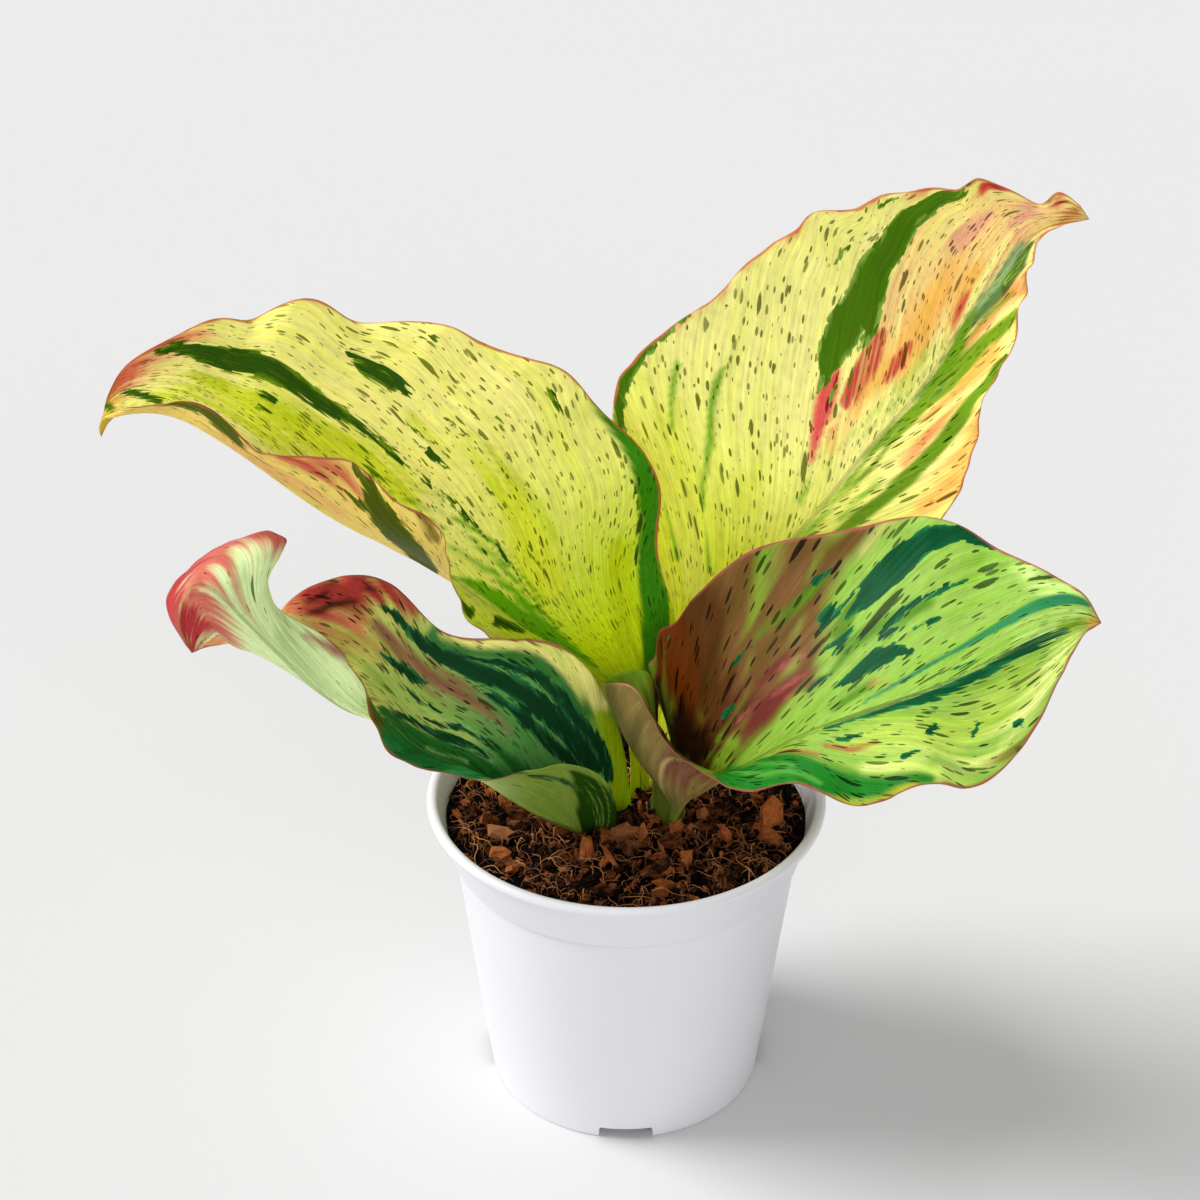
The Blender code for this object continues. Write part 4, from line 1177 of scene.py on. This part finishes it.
grow_leaf("leaf_front_right", FRONT_RIGHT, FRONT_RIGHT_WAVES, (0.35, 0.35), 81, {
    "ground": ((120, 152, 34), (146, 184, 82), 0.4, 0.66),
    "washes": (
        ((176,204,88), 4, (30,66,4, 50,76,7, 45,86,5)),
        ((226,236,146), 3, (80,74,2, 85,80,3, 75,88,3, 50,94,2), (60,66,1, 70,72,2)),
        ((196,224,140), 3, (-60,95,2, -30,90,2, -20,86,2), (-85,90,2, -90,84,3)),
        ((118,82,48), 4, (-100,65,4, -90,60,6, -70,57,6, -50,56,5, -30,57,4), (-100,56,8, -60,52,9,
         -30,50,8), (-100,48,9, -60,45,9, -25,46,5)),
        ((90,52,24), 4, (-100,41,9, -60,40,10, -35,43,8), (-30,48,4, -20,47,3), (-35,36,8, -20,42,4,
         -13,46,1.5), (-10,40,5, 0,30,8)),
        ((104,46,8), 4, (-95,36,7, -70,34,7, -50,35,5)),
        ((42,18,6), 4, (-50,28,7, -35,16,8), (-38,31,7, -26,35,4), (-55,31,5, -35,35,5, -20,40,3),
         (-80,27,5, -60,20,6)),
        ((112,42,42), 2, (-38,59,.6, -32,55,3.6, -25,51,4.6, -18,48,3), (-48,55,.6, -42,51,1.8,
         -35,47,1.2)),
        ((168,84,86), .9, (-36,58,.3, -33,55,1, -30,52,.6), (-28,57,.3, -26,54,.8), (-44,56,.2,
         -42,53,.7), (-30,50,.2, -26,47,.6)),
        ((188,184,120), 2, (-100,67,3, -87,63.5,2.4)),
        ((88,128,26), 1.6, (-80,60,.4, -74,57,1.5, -66,53,1.3, -60,50,.4), (-70,65,1.4, -60,62,2.8,
         -50,61,3.4, -42,61,2.4)),
        ((86,136,34), 2, (-55,72,1, -50,68,2.4, -45,63,3.4, -30,60,1.4), (-10,62,.6, -15,66,1.6)),
        ((46,132,88), .5, (-88,94,.4, -74,90,1.6, -60,87,1.9, -46,84,1.8, -35,80.5,1.2, -25,77,.7,
         -14,72,.6, -7,66,.4)),
        ((168,124,66), .9, (36,67.5,.3, 37,64,.8, 30,61,.5), (42,60,.5, 36,57,1, 15,54,.5),
         (-15,69,.3, -17,66.5,.6)),
        ((30,122,36), 1, (0,46,2.4, 30,50,3.4, 55,54,4.2, 72,59,4.2, 78,64,3.6, 88,68,2.4,
         95,72,.8), (50,47,3, 85,51,3.6, 95,56,3.4, 100,60,1.4), (90,47,2, 80,48,3)),
        ((92,78,34), 2, (80,42,4, 90,40,6, 90,32,8, 70,25,8), (40,42,5, 60,36,7)),
        ((84,160,70), .7, (15,50,.4, 40,53,.6, 65,57,.5), (30,48,.3, 70,53,.6, 85,60,.4)),
        ((176,170,50), 1.4, (98,62,.3, 98,65,1.2, 100,70,1.2)),
        ((122,116,50), 1.4, (100,85,.6, 95,81.5,1.8, 88,79,1)),
        ((236,180,90), 2, (-100,99,2.5, 0,98.5,2.5, 100,99,2.5)),
        ((128,158,16), 1.5, (-30,95,.8, -10,92.5,1.6)),
    ),
    "marks": (
        (-100,79,.8, -96,75,2, -88,71,3.6, -77,67.5,4.6, -68,64.5,3.8, -58,61.5,1), (-30,71,1.2,
        -32,69,2.6, -30,66,3.4, -25,63.5,2.4, -21,61,.6), (-72,76.5,.3, -62,72.5,1, -55,70,1.3,
        -47,67,.9), (-48,74,.3, -42,71,1), (-45,68.5,.6, -42,66.5,1.2, -38,65,.5), (-70,63,.5,
        -62,60,1.2, -56,58,.5), (-52,63,.4, -47,61,1.2, -44,59,.4), (7,93,.9, 7,90,1.5, 7,87,1.5,
        8,83,1.4, 6,78,1.5, 5,73,1.4, 4,67,1, 2,61,.5), (-30,60,.3, -29,59,.8, -25,57,.3), (38,75,1,
        39,74,1), (23,66,.4, 22,63,.8), (75,83,.6, 80,83.5,1), (50,80,.3, 55,79,.6), (60,72,.3,
        62,70,.6), (20,76,.5, 21,74.5,.8), (-10,81,.6, -9,79,.8), (-60,50,.2, -55,46,.9),
        (-35,46,.3, -33,44,.9), (-90,34,.4, -95,36,.7), (-83,60,.3, -78,57.5,.8), (-66,60,.4,
        -60,58,.9), (-45,61,.6, -40,60,.8),
    ),
    "stains": (
        (-31,60,.2, -29,58.5,1.2, -27,56.5,.6),
    ),
    "skin": ((0, 76, 40), (24, 118, 64), (70, 18, 26), (168, 84, 74), (0.8, 1.1),
             ((0.70, 0.86, 0.44), 0.8)),
}, {
    "ground": ((108, 126, 44), (150, 128, 78), 0.1, 0.26),
    "washes": (
        ((138,92,74), 5, (30,30,5, 40,36,5, 50,50,6)),
        ((112,104,60), 4, (95,24,3, 50,24,4, 20,14,4)),
        ((196,178,120), .8, (20,22,.2, 35,28,.4, 45,36,.3), (10,16,.3, 20,22,.4)),
        ((166,196,110), 12, (0,75,24, 0,90,16)),
    ),
    "skin": ((84, 84, 48), (110, 108, 66), (128, 42, 56), (206, 120, 112), (0.12, 1.0),
             ((0.74, 0.70, 0.60), 0.9)),
})

# ---------------------------------------------------------------------------------------------
# Studio. A plain pale floor, a broad soft light from the left, a weak one from the front, and even
# fill.

FLOOR_HALF = 60000.0
CAMERA_AWAY = (-7.9, -596.5, 512.2)
CAMERA_AIM = (-7.9, 0.0, 166.4)
LENS = 72.0
LIGHT_AIM = (0.0, 0.0, 100.0)
LIGHTS = (                     # name, strength, width in degrees, where it comes from
    ("soft_key", 2.95, 32.0, (-755.0, 125.0, 743.0)),
    ("front_fill", 1.1, 70.0, (120.0, -960.0, 310.0)),
)
EVEN_FILL = 0.47


def studio_floor():
    """A matt sheet, its grain too fine to see at this distance."""
    made, shader = new_material("studio_floor", 0.9, Specular_IOR_Level=0.1)
    tint = noise(object_place(made), 2.0, 1.0)
    feed(shader, Base_Color=blend(tint, (0.714, 0.714, 0.714, 1.0), (0.724, 0.724, 0.724, 1.0)))
    corners = np.array([(-1, -1, 0), (1, -1, 0), (1, 1, 0), (-1, 1, 0)]) * FLOOR_HALF
    floor = new_object("studio_floor", corners, [(0, 1, 2, 3)])
    floor.data.materials.append(made)
    return floor


def aim(item, place, target):
    """Stands an item at a place, looking at a target, both in millimetres from the pot's axis."""
    place, target = np.array(place) * MM + POT_AXIS, np.array(target) * MM + POT_AXIS
    item.location = place.tolist()
    ahead = target - place
    item.rotation_euler = (math.atan2(math.hypot(*ahead[:2]), -ahead[2]), 0.0,
                           math.atan2(-ahead[0], ahead[1]))
    bpy.context.scene.collection.objects.link(item)


studio_floor()
for name, strength, width, place in LIGHTS:
    light = bpy.data.lights.new(name, "SUN")
    light.energy = strength
    light.angle = math.radians(width)
    aim(bpy.data.objects.new(name, light), place, LIGHT_AIM)
world = bpy.data.worlds.new("studio_fill")
world.use_nodes = True
background = world.node_tree.nodes["Background"]
background.inputs["Color"].default_value = (1.0, 1.0, 1.0, 1.0)
background.inputs["Strength"].default_value = EVEN_FILL
bpy.context.scene.world = world
camera = bpy.data.cameras.new("camera")
camera.lens = LENS
camera.sensor_width = 36.0
camera_item = bpy.data.objects.new("camera", camera)
aim(camera_item, CAMERA_AWAY, CAMERA_AIM)
bpy.context.scene.camera = camera_item
bpy.context.scene.view_settings.view_transform = "Standard"
